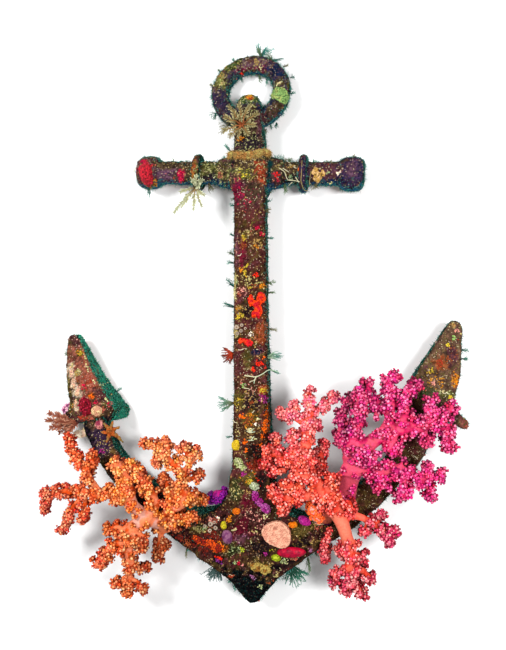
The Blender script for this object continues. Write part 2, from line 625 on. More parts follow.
# %% The recipe that grew the solids
ROUTE_STEP = 8.5  # about how far apart twigs stand along a limb, in mm
BUD_RADIUS = (4.8, 7.2)
BUD_OFF_FLOOR = 3
GOLDEN_ANGLE = math.radians(137.5)
TWIG_LEAN = (0.1, 0.7)  # how far a twig leans along its limb
TWIG_LENGTH = (0.35, 1.0)  # shares of the limb's reach
TWIG_WANE = 0.35  # share of the reach lost by the limb's tip
TWIG_RADII = (0.8, 0.6)  # at its root and end, as shares of the limb's tip
SIDE_BUD = (0.7, 0.9)  # radius of a twig's second bud, as a share of its first
CORALS = {
    # seed, then each limb: the points it runs through, radius at root and tip, bare share, twigs' reach
    "orange_soft_coral": (11, (
        ((-143, 49, 50), (-154, 57, 76), (-170, 66, 96), 19, 13, 0.9, 8),
        ((-170, 66, 96), (-191, 88, 108), (-215, 106, 112), (-252, 105, 104), (-293, 109, 96), 12, 6, 0.3, 9),
        ((-293, 109, 96), (-325, 106, 90), (-346, 102, 84), (-368, 98, 76), 6, 4, 0.1, 9),
        ((-357, 95, 80), (-372, 80, 72), (-376, 68, 66), 4, 3, 0.3, 5),
        ((-252, 105, 104), (-275, 135, 104), (-293, 154, 98), (-307, 173, 92), (-321, 197, 84), 7, 4, 0.2, 8),
        ((-281, 142, 100), (-271, 159, 98), (-276, 172, 92), 5, 4, 0.2, 7),
        ((-283, 101, 98), (-287, 79, 90), (-295, 58, 80), 5, 3, 0.3, 6),
        ((-295, 96, 96), (-313, 75, 86), (-325, 56, 78), (-328, 42, 70), (-344, 32, 62), 5, 3, 0.2, 6),
        ((-191, 88, 108), (-205, 141, 116), (-219, 159, 118), 9, 8, 0.3, 12),
        ((-170, 66, 96), (-154, 91, 104), (-162, 116, 112), (-178, 140, 114), (-193, 158, 112),
         10, 6, 0.3, 11),
        ((-191, 88, 108), (-208, 116, 116), (-228, 117, 116), 8, 5, 0.2, 10),
        ((-170, 66, 96), (-192, 54, 104), (-200, 33, 104), (-202, 8, 98), (-203, -19, 88), 13, 7, 0.2, 10),
        ((-196, 45, 104), (-223, 47, 100), (-241, 45, 94), 8, 5, 0.3, 8),
        ((-200, 25, 104), (-227, 21, 100), (-247, 0, 92), (-267, -14, 82), 8, 4, 0.2, 9),
        ((-245, 2, 92), (-259, -22, 80), 5, 3, 0.4, 5),
        ((-192, 54, 104), (-182, 37, 100), (-183, 17, 92), 7, 5, 0.3, 8),
        ((-203, -19, 88), (-207, -34, 82), (-211, -47, 76), (-216, -68, 66), 7, 4, 0.3, 7),
        ((-209, -42, 78), (-226, -50, 72), (-236, -54, 68), 5, 3, 0.3, 6),
        ((-209, -42, 78), (-193, -49, 74), (-188, -65, 64), 5, 3, 0.3, 6),
        ((-204, -24, 86), (-190, -24, 80), (-179, -22, 74), 5, 3, 0.4, 5),
        ((-154, 53, 66), (-157, 24, 66), (-163, -10, 58), 7, 4, 0.4, 6),
        ((-158, 24, 66), (-148, 12, 60), 4, 3, 0.5, 5),
        ((-154, 57, 76), (-126, 60, 92), (-105, 72, 92), (-96, 67, 86), 10, 5, 0.3, 11),
        ((-154, 60, 80), (-128, 88, 102), (-121, 117, 108), 10, 6, 0.3, 11),
        ((-126, 86, 100), (-104, 98, 106), (-107, 121, 110), (-105, 145, 112), 10, 6, 0.2, 11),
        ((-105, 145, 112), (-119, 164, 112), (-144, 178, 110), (-152, 193, 106), (-172, 195, 102),
         6, 4, 0.2, 8),
        ((-144, 178, 110), (-152, 163, 102), 5, 4, 0.4, 6),
        ((-137, 174, 110), (-131, 187, 106), (-139, 197, 104), 5, 4, 0.4, 6),
        ((-105, 145, 112), (-94, 162, 110), (-97, 182, 106), (-108, 190, 102), 6, 4, 0.2, 9),
        ((-94, 162, 110), (-84, 172, 104), (-86, 187, 100), 5, 4, 0.4, 7),
        ((-106, 135, 110), (-88, 137, 102), (-80, 142, 92), 6, 4, 0.3, 8),
        ((-104, 117, 106), (-86, 107, 98), (-76, 98, 88), 6, 4, 0.3, 7),
        ((-121, 112, 104), (-138, 124, 92), (-146, 134, 88), 5, 4, 0.4, 7),
    )),
    "red_soft_coral": (23, (
        ((131, 71, 50), (140, 99, 78), (137, 121, 98), 18, 13, 0.9, 8),
        ((137, 121, 98), (122, 138, 108), (107, 166, 112), (104, 197, 112), (109, 233, 110), 12, 8, 0.3, 8),
        ((109, 233, 110), (112, 264, 104), (110, 284, 98), 7, 4, 0.1, 8),
        ((113, 249, 108), (133, 262, 102), (149, 278, 94), 5, 4, 0.3, 7),
        ((107, 229, 110), (83, 243, 104), (63, 249, 96), 6, 4, 0.2, 9),
        ((86, 244, 104), (83, 261, 98), 4, 4, 0.4, 6),
        ((106, 219, 110), (121, 230, 106), 5, 4, 0.4, 7),
        ((122, 138, 108), (87, 171, 116), (62, 180, 110), (44, 189, 102), 10, 5, 0.2, 12),
        ((62, 180, 108), (54, 205, 98), 5, 4, 0.4, 7),
        ((73, 157, 112), (50, 155, 102), (35, 166, 94), 6, 4, 0.3, 9),
        ((108, 156, 116), (87, 192, 114), (82, 212, 108), 7, 5, 0.2, 11),
        ((135, 118, 98), (99, 115, 110), (70, 110, 104), (49, 118, 96), 10, 5, 0.2, 11),
        ((75, 107, 106), (64, 90, 98), 5, 4, 0.4, 7),
        ((100, 131, 114), (70, 131, 112), 8, 6, 0.1, 11),
        ((125, 136, 112), (109, 149, 128), (93, 156, 130), 8, 6, 0.1, 12),
        ((124, 134, 100), (127, 169, 92), (132, 197, 86), 5, 4, 0.2, 8),
        ((127, 164, 92), (117, 181, 90), 4, 4, 0.4, 6),
        ((137, 121, 100), (145, 145, 112), 8, 6, 0.2, 10),
        ((140, 99, 80), (160, 77, 102), (171, 44, 104), (175, 6, 94), (174, -22, 84), 14, 7, 0.5, 8),
        ((173, 40, 104), (160, 28, 98), 6, 4, 0.4, 7),
        ((175, 26, 100), (196, 20, 92), 6, 4, 0.4, 7),
        ((175, 6, 94), (153, -11, 84), (149, -30, 76), 6, 4, 0.3, 7),
        ((175, 4, 94), (198, -8, 86), (206, -20, 78), 6, 4, 0.3, 8),
        ((174, -22, 84), (186, -36, 78), (194, -46, 72), 6, 4, 0.2, 8),
        ((174, -22, 84), (166, -44, 72), 5, 4, 0.4, 7),
        ((141, 62, 86), (133, 28, 72), (132, 6, 64), 5, 3, 0.5, 5),
        ((160, 84, 100), (184, 85, 98), (203, 78, 96), (224, 63, 88), (238, 42, 76), 8, 4, 0.4, 8),
        ((201, 79, 96), (198, 57, 84), 4, 3, 0.5, 6),
        ((217, 69, 90), (225, 86, 84), 4, 3, 0.5, 5),
        ((230, 55, 84), (246, 58, 76), 4, 3, 0.4, 6),
        ((160, 104, 96), (140, 112, 106), (126, 102, 100), 6, 5, 0.2, 7),
        ((160, 104, 96), (174, 107, 102), (178, 88, 96), 6, 4, 0.3, 6),
    )),
    "magenta_soft_coral": (37, (
        ((162, 99, 50), (170, 136, 78), (182, 165, 102), 21, 18, 0.9, 8),
        ((182, 165, 102), (203, 200, 116), (243, 226, 120), (290, 231, 114), (318, 244, 106), (337, 262, 96),
         16, 5, 0.5, 11),
        ((182, 165, 102), (217, 162, 114), (252, 163, 112), (292, 147, 104), (318, 153, 94), 14, 5, 0.3, 10),
        ((292, 147, 106), (302, 121, 94), 5, 4, 0.3, 8),
        ((294, 149, 106), (298, 166, 98), 5, 4, 0.4, 7),
        ((252, 163, 112), (264, 127, 102), (249, 118, 96), 7, 4, 0.3, 9),
        ((217, 162, 114), (226, 138, 110), 8, 7, 0.3, 13),
        ((182, 165, 102), (169, 193, 108), (162, 226, 104), (166, 257, 98), (176, 273, 94), 9, 5, 0.3, 10),
        ((177, 190, 110), (188, 231, 122), (193, 256, 118), (192, 284, 106), 10, 6, 0.2, 11),
        ((193, 261, 116), (207, 276, 108), (205, 300, 98), 6, 4, 0.3, 8),
        ((213, 208, 118), (235, 236, 122), (241, 272, 114), (238, 306, 102), 9, 5, 0.3, 10),
        ((238, 301, 102), (250, 312, 100), 5, 4, 0.4, 7),
        ((253, 229, 120), (263, 256, 116), (265, 280, 110), (281, 298, 100), 8, 5, 0.2, 10),
        ((218, 243, 112), (221, 270, 106), 6, 5, 0.3, 9),
        ((290, 231, 114), (303, 254, 110), (305, 272, 104), 8, 5, 0.2, 10),
        ((314, 242, 106), (328, 223, 98), (333, 200, 88), 8, 5, 0.2, 10),
        ((290, 229, 112), (298, 207, 102), 7, 5, 0.2, 9),
        ((243, 226, 120), (240, 196, 124), 9, 7, 0.2, 12),
        ((202, 195, 116), (212, 177, 130), 9, 7, 0.2, 12),
    )),
}


def along_route(points, step):
    """Even points on a smooth curve through a limb's own points."""
    ends = [points[0] * 2 - points[1], *points, points[-1] * 2 - points[-2]]
    fine = []
    for p0, p1, p2, p3 in zip(ends, ends[1:], ends[2:], ends[3:]):
        count = max(2, round((p2 - p1).length / step))
        for i in range(count):
            t = i / count
            pull = (p2 - p0) * t + (p0 * 2 - p1 * 5 + p2 * 4 - p3) * t * t
            fine.append(p1 + (pull + (p1 * 3 - p0 - p2 * 3 + p3) * t**3) * 0.5)
    return [*fine, points[-1]]


def grow(seed, limbs):
    """The stems of a soft coral as (points, radii), and its buds as (centre, radius, way out)."""
    chance = random.Random(seed)
    stems = []
    buds = []
    turn = 0.0
    for *points, root_radius, tip_radius, bare, reach in limbs:
        route = along_route([Vector(p) for p in points], ROUTE_STEP)
        last = len(route) - 1
        radii = [root_radius + (tip_radius - root_radius) * i / last for i in range(last + 1)]
        stems.append((route, radii))
        for i in range(math.ceil(bare * last), last + 1):
            ahead = (route[min(i + 1, last)] - route[max(i - 1, 0)]).normalized()
            side = ahead.orthogonal().normalized()
            for _ in range(2 if i < last else 3):
                turn += GOLDEN_ANGLE
                out = Matrix.Rotation(turn, 3, ahead) @ side + ahead * chance.uniform(*TWIG_LEAN)
                out.normalize()
                length = radii[i] + reach * chance.uniform(*TWIG_LENGTH) * (1 - TWIG_WANE * i / last)
                tip = route[i] + out * length
                tip.z = max(tip.z, BUD_RADIUS[1] + BUD_OFF_FLOOR)
                stems.append(([route[i], tip], [tip_radius * share for share in TWIG_RADII]))
                radius = chance.uniform(*BUD_RADIUS)
                buds.append((tip, radius, out))
                aside = out.orthogonal().normalized() * radius
                aside = Matrix.Rotation(chance.uniform(0, math.tau), 3, out) @ aside
                way = (out + aside / radius).normalized()
                buds.append((tip + aside - out * radius * 0.4, radius * chance.uniform(*SIDE_BUD), way))
    return stems, buds


colonies = {name: grow(seed, limbs) for name, (seed, limbs) in CORALS.items()}
for name, (stems, buds) in colonies.items():
    print(name, len(stems), "stems", len(buds), "bundles")

# %% [markdown]
# ### Stems
#
# The stems are one flesh. Drawn as bevelled curves they cross like pipes, so they are melted into one
# skin by a voxel remesh and then relaxed, which fills the forks with soft webs. The trunk is pale and
# almost glassy, and thin twigs carry more colour, so each vertex is coloured by the radius of the stem
# it lies on.

# %% Melt the stems into one skin
STEM_VOXEL = 2.8
TRUNK_FROM = (7.0, 13.0)  # radii in mm between which a limb's colour turns into the trunk's
TWIG_BELOW = (5.5, 3.5)
STEM_COLOURS = {
    # trunk, limb, twig
    "orange_soft_coral": ("#cc9484", "#e0784c", "#c4440e"),
    "red_soft_coral": ("#d46c54", "#e45c48", "#c83420"),
    "magenta_soft_coral": ("#c04458", "#dc4468", "#b81450"),
}


def tubes(name, lines, sides):
    """Round tubes through (points, radii) in mm, closed at their ends, as one mesh."""
    curve = bpy.data.curves.new(name, "CURVE")
    curve.dimensions = "3D"
    curve.bevel_depth = MM
    curve.bevel_resolution = sides
    curve.use_fill_caps = True
    for points, radii in lines:
        spline = curve.splines.new("POLY")
        spline.points.add(len(points) - 1)
        for place, centre, radius in zip(spline.points, points, radii):
            place.co = (*(Vector(centre) * MM), 1)
            place.radius = radius
    made = new_object(name, curve)
    pick(made)
    bpy.ops.object.convert(target="MESH")
    return made


def make_stems(name, stems, trunk, limb, twig):
    """The stems of one colony as one soft skin, coloured by how thick each stem is."""
    finder = KDTree(sum(len(points) for points, _ in stems))
    radii_found = []
    lines = []
    for points, radii in stems:
        for centre, radius in zip(points, radii):
            finder.insert(centre, len(radii_found))
            radii_found.append(radius)
        if len(points) > 2:
            # a round end, so that no edge shows where limbs meet
            beyond = (points[-1] - points[-2]).normalized() * radii[-1]
            points = [*points, points[-1] + beyond * 0.5, points[-1] + beyond * 0.9]
            radii = [*radii, radii[-1] * 0.87, radii[-1] * 0.4]
        lines.append((points, radii))
    finder.balance()
    obj = tubes(name + "_stems", lines, 2)
    roughen(obj, STEM_VOXEL, ())
    relax = obj.modifiers.new("relax", "SMOOTH")
    relax.factor = 0.6
    relax.iterations = 8
    apply_all(obj)
    points = places(obj.data)
    radius = np.array([radii_found[finder.find(p)[1]] for p in points]) + 3 * soft_noise(points, 9, 7)
    colours = blend(rgb(limb), rgb(trunk), step_between(*TRUNK_FROM, radius))
    colours = blend(colours, rgb(twig), step_between(*TWIG_BELOW, radius))
    under = step_between(0.2, -0.8, outward(obj.data)[:, 2])
    tint(obj.data, blend(colours, colours * 0.45, under))
    return obj


flesh = living_finish("pale coral flesh", 3.2, 0.2, 0.5, 0.5)
stems_of = {}
for name, (stems, _) in colonies.items():
    stems_of[name] = make_stems(name, stems, *STEM_COLOURS[name])
    stems_of[name].data.materials.append(flesh)
    stand_for(stems_of[name], name)

# %% [markdown]
# ### Polyps
#
# A polyp is a little knob with a crown of stubby arms. At this size a ball of five sides is enough: its
# lower pole is dissolved, its waist drawn in and the five points of its crown pulled out unevenly.
# Some more bundles are seated right on the limbs, which are furry all over but for a few bare places.
# Every bundle gets a core and eight polyps spread over it by the golden angle, as seeds are in a
# sunflower, which leaves neither gaps nor rows.

# %% Model one polyp and one core


def new_ball(name, segments, rings):
    """A ball of one millimetre's radius about the origin, the start of a template."""
    bpy.ops.object.select_all(action="DESELECT")
    bpy.ops.mesh.primitive_uv_sphere_add(segments=segments, ring_count=rings, radius=MM)
    made = bpy.context.object
    made.name = name
    return made


def flatten_foot(obj):
    """Dissolves the lowest vertex, which leaves one face where a small shape stands."""
    bpy.ops.object.mode_set(mode="EDIT")
    bpy.ops.mesh.select_mode(type="VERT")
    bpy.ops.mesh.select_all(action="DESELECT")
    bpy.ops.object.mode_set(mode="OBJECT")
    obj.data.vertices[int(np.argmin(places(obj.data)[:, 2]))].select = True
    bpy.ops.object.mode_set(mode="EDIT")
    bpy.ops.mesh.dissolve_verts()
    bpy.ops.object.mode_set(mode="OBJECT")


polyp = new_ball("polyp", 5, 3)
flatten_foot(polyp)
points = places(polyp.data)
dice = np.random.default_rng(5)
crown = np.abs(points[:, 2] - 0.5) < 0.1
waist = points[:, 2] < 0
points[crown, :2] *= dice.uniform(0.95, 1.4, (crown.sum(), 1))
points[crown, 2] += dice.uniform(0, 0.25, crown.sum())
points[waist, :2] *= 0.75
points[points[:, 2] > 0.9, 2] = 0.65  # the top sinks between the crown's arms
move_to(polyp.data, points)
core = new_ball("core", 5, 3)
print("polyp:", len(polyp.data.polygons), "faces, core:", len(core.data.polygons))

# %% [markdown]
# No two parts of a colony have the same colour: young tips are pinker, old bundles more yellow or
# wine-red. A few patches say where each colour is strongest, every bundle takes a mix of the patches
# by its distance to them, and bundles that lie under others are darker.

# %% Stamp the polyps of each colony
POLYPS = 8  # in a bundle
POLYP_SIZE = (1.65, 3.05)
POLYP_SEAT = 0.8  # how far out a polyp stands, as a share of the bundle's radius
POLYP_STRETCH = (0.9, 0.9, 1.2)
CORE_SIZE = 0.72  # of the bundle's own radius
PATCH_REACH = 34.0
SHADED_WITHIN = 13  # a bundle is shaded by others this near, seen from above
SHADED_BELOW = 9  # and at least this much higher
LIT_WITHIN = 26  # a bundle is lit if it stands above the mean height of those this near
BUNDLES = {
    # shade, tip, then patches of (x, y, body)
    "orange_soft_coral": ("#6c1004", "#ffdca0", (
        (-368, 90, "#da4f3e"), (-320, 50, "#de593e"), (-300, 105, "#de5731"), (-315, 185, "#da491f"),
        (-255, 100, "#e2631f"), (-215, 155, "#ee8b3e"), (-165, 190, "#e67b46"), (-100, 180, "#de8352"),
        (-110, 120, "#ea7b35"), (-110, 70, "#ea812d"), (-190, 90, "#e66f1f"), (-200, 10, "#de6327"),
        (-255, 0, "#d6512b"), (-210, -50, "#d25925"), (-158, 0, "#8d3b25"),
    )),
    "red_soft_coral": ("#7c0410", "#ffd4c8", (
        (112, 275, "#f28089"), (70, 245, "#ee7884"), (148, 275, "#e15c80"), (108, 225, "#ee6a62"),
        (55, 185, "#ee5049"), (40, 165, "#e53c38"), (90, 165, "#f65a3c"), (60, 110, "#ee5440"),
        (130, 190, "#c81c45"), (115, 140, "#fa6040"), (150, 110, "#f24c27"), (175, 50, "#e5483c"),
        (172, -10, "#d93c4d"), (190, -45, "#c0244d"), (150, -30, "#d13c62"), (225, 65, "#c01862"),
        (135, 20, "#d95c5a"),
    )),
    "magenta_soft_coral": ("#50043c", "#ffb4d4", (
        (165, 260, "#891051"), (175, 215, "#ad1051"), (192, 285, "#c31760"), (200, 240, "#dd286b"),
        (238, 305, "#dd2564"), (240, 270, "#d81e73"), (275, 295, "#d4216f"), (305, 260, "#d01e68"),
        (335, 255, "#dd3373"), (330, 205, "#e13a77"), (290, 215, "#e1336b"), (240, 200, "#e1256b"),
        (215, 180, "#e6257a"), (250, 120, "#e11777"), (295, 125, "#dd256f"), (320, 155, "#e13377"),
    )),
}
ON_LIMBS = {
    # how many bundles sit on the limbs, the circles (x, y, radius) that stay bare, and set places
    "orange_soft_coral": (
        115,
        ((-165, 62, 15), (-264, 101, 12), (-104, 154, 11), (-138, 71, 8), (-150, 24, 10)),
        (),
    ),
    "red_soft_coral": (
        150,
        ((99, 197, 14), (102, 212, 10), (134, 132, 14), (153, 65, 22), (171, 7, 15), (194, 84, 12)),
        ((141, 58, 92), (138, 49, 86), (136, 40, 82), (133, 31, 78)),
    ),
    "magenta_soft_coral": (
        150,
        ((180, 151, 20), (165, 136, 15), (219, 205, 13), (236, 207, 11), (279, 230, 12), (260, 232, 11),
         (240, 160, 11), (298, 142, 11)),
        (),
    ),
}
LIMB_BUNDLE_RADIUS = (3.6, 5.8)


def bundles_on_limbs(stems, count, bare, also, seed):
    """More bundles, seated right on the fronts of the limbs, outside the bare circles."""
    dice = np.random.default_rng(seed)
    ends = [(a, b, radii[i]) for points, radii in stems if len(points) > 2
            for i, (a, b) in enumerate(zip(points, points[1:]))]
    chance = np.array([radius + 2 for _, _, radius in ends])
    found = [(Vector(place), LIMB_BUNDLE_RADIUS[1], Vector((0, 0, 1))) for place in also]
    while len(found) < count:
        a, b, radius = ends[dice.choice(len(ends), p=chance / chance.sum())]
        centre = a.lerp(b, dice.random())
        ahead = (b - a).normalized()
        out = Vector((*dice.normal(0, 0.55, 2), 1.0))
        out = (out - ahead * out.dot(ahead)).normalized()
        size = dice.uniform(*LIMB_BUNDLE_RADIUS)
        centre = centre + out * (radius + size * 0.4)
        if all(math.hypot(centre.x - x, centre.y - y) > reach for x, y, reach in bare):
            found.append((centre, size, out))
    return found


def colour_of_bundles(middles, patches, dice):
    """Each bundle's colour, mixed from the nearest patches and darker under others, and how lit it is."""
    x, y, z = middles.T
    weights = np.array([
        np.exp(-((x - patch_x) ** 2 + (y - patch_y) ** 2) / (2 * PATCH_REACH**2))
        for patch_x, patch_y, _ in patches
    ])
    mixed = (weights / weights.sum(axis=0)).T @ np.array([rgb(code) for _, _, code in patches])
    apart = np.hypot(x[:, None] - x, y[:, None] - y)
    above = (apart < SHADED_WITHIN) & (z[None, :] - z[:, None] > SHADED_BELOW)
    open_share = 1 / (1 + 0.45 * above.sum(axis=1))
    around = apart < LIT_WITHIN
    height = z - (around * z[None, :]).sum(axis=1) / around.sum(axis=1)
    lit = step_between(-12.0, 12.0, height + dice.normal(0, 4.0, len(x)))
    warm = np.clip(dice.normal(1, 0.2, (len(x), 3)), 0.5, 1.5) ** (0.4, 1.0, 1.0) * (1, 0.8, 0.85)
    # shade is redder than light, so the three channels fall off at their own rates
    light = (0.3 + 0.7 * open_share)[:, None] ** (1.0, 1.6, 1.5)
    light = light * (0.72 + 0.56 * lit)[:, None] ** (0.7, 1.4, 1.2)
    return mixed * warm * light, lit


def make_polyps(name, buds, shade, tip, patches, seed):
    """The cores and polyps of a colony's bundles as one piece."""
    dice = np.random.default_rng(seed)
    shade, tip = rgb(shade), rgb(tip)
    turns = GOLDEN_ANGLE * np.arange(POLYPS)
    rise = 1 - 1.6 * (np.arange(POLYPS) + 0.5) / POLYPS
    spread = np.sqrt(1 - rise**2)
    local = np.c_[spread * np.cos(turns), spread * np.sin(turns), rise]
    middles = np.array([centre for centre, _, _ in buds])
    radii = np.array([radius for _, radius, _ in buds])[:, None]
    outs = np.array([out for _, _, out in buds])
    bundle_turns = turned_to(outs, dice.uniform(0, math.tau, len(buds)))
    bundle_colours, lit = colour_of_bundles(middles, patches, dice)
    core_body = blend(bundle_colours * 0.5, shade, np.full(len(buds), 0.3))
    cores = stamp(name + "_cores", core, middles, bundle_turns, radii * CORE_SIZE * np.ones(3),
                  bundle_colours * 0.3, core_body, bundle_colours * 0.6)
    ways = np.einsum("nij,pj->npi", bundle_turns, local) + dice.normal(0, 0.1, (len(buds), POLYPS, 3))
    centres = (middles[:, None] + ways * radii[:, None] * POLYP_SEAT).reshape(-1, 3)
    ways = ways.reshape(-1, 3)
    count = len(centres)
    size = dice.uniform(*POLYP_SIZE, (count, 1)) * POLYP_STRETCH
    bodies = bundle_colours.repeat(POLYPS, axis=0) * dice.uniform(0.75, 1.35, (count, 1))
    # what faces sideways or down is shaded, and pale tips are rare there
    aside = step_between(0.75, -0.5, ways[:, 2])
    bodies = blend(bodies, shade, aside * 0.75)
    pale = (0.35 + 0.65 * lit).repeat(POLYPS) * dice.random(count) ** 1.6 * (1 - aside)
    tips = blend(bodies * 1.1, tip, 0.8 * pale)
    feet = blend(bodies * 0.8, shade, np.full(count, 0.3))
    made = stamp(name + "_polyps", polyp, centres, turned_to(ways, dice.uniform(0, math.tau, count)),
                 size, feet, bodies, tips)
    join(name + "_polyps", [made, cores])
    made.data.materials.append(polyp_finish)
    grown_on(made)


polyp_finish = living_finish("coral polyps", 1.1, 0.3, 0.3, 0.55)
for seed, (name, (stems, buds)) in enumerate(colonies.items(), 40):
    more = bundles_on_limbs(stems, *ON_LIMBS[name], seed)
    make_polyps(name, buds + more, *BUNDLES[name], seed)
bpy.data.objects.remove(polyp)
bpy.data.objects.remove(core)

# %% [markdown]
# ## Sponges, sea squirts and crusts
#
# Between the corals sit small soft lumps, each of one colour. The solids give their outlines, so each is
# copied and refined rather than drawn again. Sponges get pores, sea squirts a smooth wet skin, and crusts
# a crumbly one. Pits collect shade and dirt, so a vertex that lies lower than its neighbours is
# given the deeper of two colours.

# %% Find the pits and colour the lumps


def hollows(mesh):
    """How deep each vertex lies below its neighbours, in millimetres. Ridges are negative."""
    edge = np.empty(len(mesh.edges) * 2, int)
    mesh.edges.foreach_get("vertices", edge)
    a, b = edge.reshape(-1, 2).T
    points, total, count = places(mesh), np.zeros((len(mesh.vertices), 3)), np.zeros(len(mesh.vertices))
    for one, other in ((a, b), (b, a)):
        np.add.at(total, one, points[other])
        np.add.at(count, one, 1)
    return ((total / count[:, None] - points) * outward(mesh)).sum(axis=1)


def two_tone(obj, deep, raised, second=None, patch_mm=8.0):
    """Deep colour in the pits, raised colour on top and some patches of a second colour."""
    points = places(obj.data)
    top = rgb(raised)[None].repeat(len(points), axis=0)
    if second:
        top = blend(top, rgb(second), step_between(-0.05, 0.15, soft_noise(points, patch_mm, 11)))
    pit = step_between(-0.06, 0.14, hollows(obj.data) + 0.12 * soft_noise(points, 3, 12))
    tint(obj.data, blend(top, rgb(deep), pit))


SPONGE = (("CLOUDS", 6, 2.4), ("VORONOI", 3.6, -1.6))
CRUMBLY = (("CLOUDS", 6, 3.0), ("CLOUDS", 2.4, 1.6))
LACY = (("CLOUDS", 6, 3.0), ("VORONOI", 3.4, -3.2))
LOBED = (("CLOUDS", 9, 6.5), ("CLOUDS", 3, 1.4))
SMOOTH = (("CLOUDS", 14, 1.8),)
PLATED = (("WOOD", 3.2, 1.4), ("CLOUDS", 9, 2.0))
porous = living_finish("fine-pored sponge", 1.5, 0.3, 0.6, 0.7)
wet = living_finish("wet smooth skin", 2.2, 0.25, 0.35, 0.55, coat=0.06)
limy = living_finish("limy shell", 1.8, 0.22, 0.5, 0.62)
LUMP_VOXEL = 1.25
LUMPS = {
    # solid: (layers, finish, pits, top, second top colour)
    "shank_red_sponge": (SPONGE, porous, "#7c0804", "#f04008", "#bc1424"),
    "shank_red_sponge_low": (LOBED, porous, "#600408", "#cc1420", "#e03c14"),
    "shank_yellow_sponge": (CRUMBLY, porous, "#8c6c08", "#e0c020", "#c8a828"),
    "shank_cream_mat": (LACY, porous, "#2c3414", "#a0a868", "#c8c898"),
    "crown_cream_ball": (LACY, porous, "#4c5838", "#a4b088", "#c8ccac"),
    "crown_magenta_sponge": (LACY, porous, "#34082c", "#981874", "#b4509c"),
    "crown_orange_sponge": (CRUMBLY, porous, "#8c3804", "#d8700c", "#c85c0c"),
    "crown_yellow_sponge": (CRUMBLY, porous, "#64640c", "#b4a81c", "#d8b42c"),
    "purple_oyster": (PLATED, limy, "#34142c", "#602c54", "#80506c"),
    "left_arm_red_crust": (LACY, porous, "#340804", "#841808", "#d0480c"),
    "crimson_cushion": (SMOOTH, wet, "#5c041c", "#b0042c", "#8c0428"),
    "lime_sea_squirt": (CRUMBLY, wet, "#48540c", "#8c9c14", "#a8b424"),
    "crown_tan_sponge": (CRUMBLY, porous, "#40280c", "#8c5c20", "#a89048"),
    "right_magenta_sponge": (CRUMBLY, porous, "#580c50", "#a81878", "#c03c98"),
    "right_orange_sponge": (CRUMBLY, porous, "#8c3404", "#e07008", "#d08818"),
    "ring_green_crust": (LACY, porous, "#20341c", "#84a85c", "#a0ac60"),
    "left_knob_crust": (LACY, porous, "#4c0c14", "#c42030", "#a01c28"),
    "boss_growth_band": (CRUMBLY, porous, "#4c3010", "#a8743c", "#a89854"),
    "right_collar_sponge": (LOBED, porous, "#4c3410", "#b08840", "#c8a068"),
    "fluke_red_sponge": (LOBED, porous, "#24040c", "#780818", "#8c0c24"),
    "fluke_purple_squirt": (CRUMBLY, porous, "#401430", "#8c3c6c", "#d0a0ac"),
    "fluke_cream_sponge": (CRUMBLY, porous, "#7c4c2c", "#dcbc8c", "#c89074"),
    "fluke_pink_squirt": (LOBED, wet, "#5c1828", "#c88078", "#8c3048"),
    "arm_oyster": (PLATED, limy, "#948060", "#e8dcc4", "#c8b088"),
    "magenta_sea_squirts": (SMOOTH, wet, "#400c48", "#cc1488", "#8c1474"),
    "stalked_orange_coral": (SMOOTH, wet, "#c87860", "#e8a494", "#e49478"),
}
lumps = {}
for node, (layers, finish, pits, top, second) in LUMPS.items():
    lumps[node] = copy_of(node, node + "_skin")
    roughen(lumps[node], LUMP_VOXEL, layers)
    two_tone(lumps[node], pits, top, second)
    lumps[node].data.materials.append(finish)
    stand_for(lumps[node], node)

# %% [markdown]
# The oyster on the left arm lies with its pale upper valve wide open to the light. Cut from a sheet, the
# valve would have a hard edge. So it starts as a flattened ball, which thins to its rim, and gets nine
# folds round the rim, a curl along its length and the same plated skin.

# %% Model the oyster's valve


def new_chip(name, segments, rings, flat):
    """A small ball, flattened: the start of a valve, a grain or a lobe."""
    made = new_ball(name, segments, rings)
    points = places(made.data)
    points[:, 2] *= flat
    move_to(made.data, points)
    return made


valve = new_chip("oyster_valve", 36, 12, 0.22)
points = places(valve.data)
folds = 1 + 0.05 * np.cos(9 * np.arctan2(points[:, 1], points[:, 0]))
points *= np.c_[13.5 * folds, 8.5 * folds, np.full(len(points), 13.0)]
points[:, 2] += 0.16 * points[:, 0] + 0.02 * points[:, 0] ** 2
move_to(valve.data, points + (-318, 203, 49))
roughen(valve, 0.8, PLATED)
two_tone(valve, "#8c7458", "#dcd0b8", "#c4a48c", patch_mm=6)
valve.data.materials.append(limy)
grown_on(valve)

# %% [markdown]
# ## The disc coral
#
# One pink plate as broad as a palm sits on the crown. It is a stony coral: a thick wavy plate whose
# face is dotted with fine cups. The solid has its outline, so the face is dished with a formula and
# the cups come from a cell pattern.

# %% Dish and dot the disc
disc = copy_of("pink_disc_coral", "pink_disc_coral_face")
roughen(disc, 1.0, (("CLOUDS", 16, 3.0), ("CLOUDS", 5, 1.6), ("VORONOI", 2.6, -0.8)))
points = places(disc.data)
disc_low, disc_high = points.min(axis=0), points.max(axis=0)
middle = (disc_low + disc_high) / 2
reach = np.hypot(*((points - middle)[:, :2] / (disc_high - disc_low)[:2] * 2).T)
on_top = step_between(0.0, 6.0, points[:, 2] - middle[2])
points[:, 2] += on_top * (reach**2 * 2.5 - 1.2)
dent = np.exp(-(((points[:, 0] - middle[0] + 2) ** 2 + (points[:, 1] - middle[1] - 9) ** 2) / 12))
points[:, 2] -= 3.0 * on_top * dent
move_to(disc.data, points)
two_tone(disc, "#a06450", "#dca488", "#cc8c74", patch_mm=9)
disc.data.materials.append(limy)
stand_for(disc, "pink_disc_coral")

# %% [markdown]
# ## Small polyps on lumps
#
# Four of the lumps carry polyps of their own. Bumps in the skin would be lost from the side, so each
# polyp is a small ball, a little longer than wide, stamped over the skin where it faces up or out.

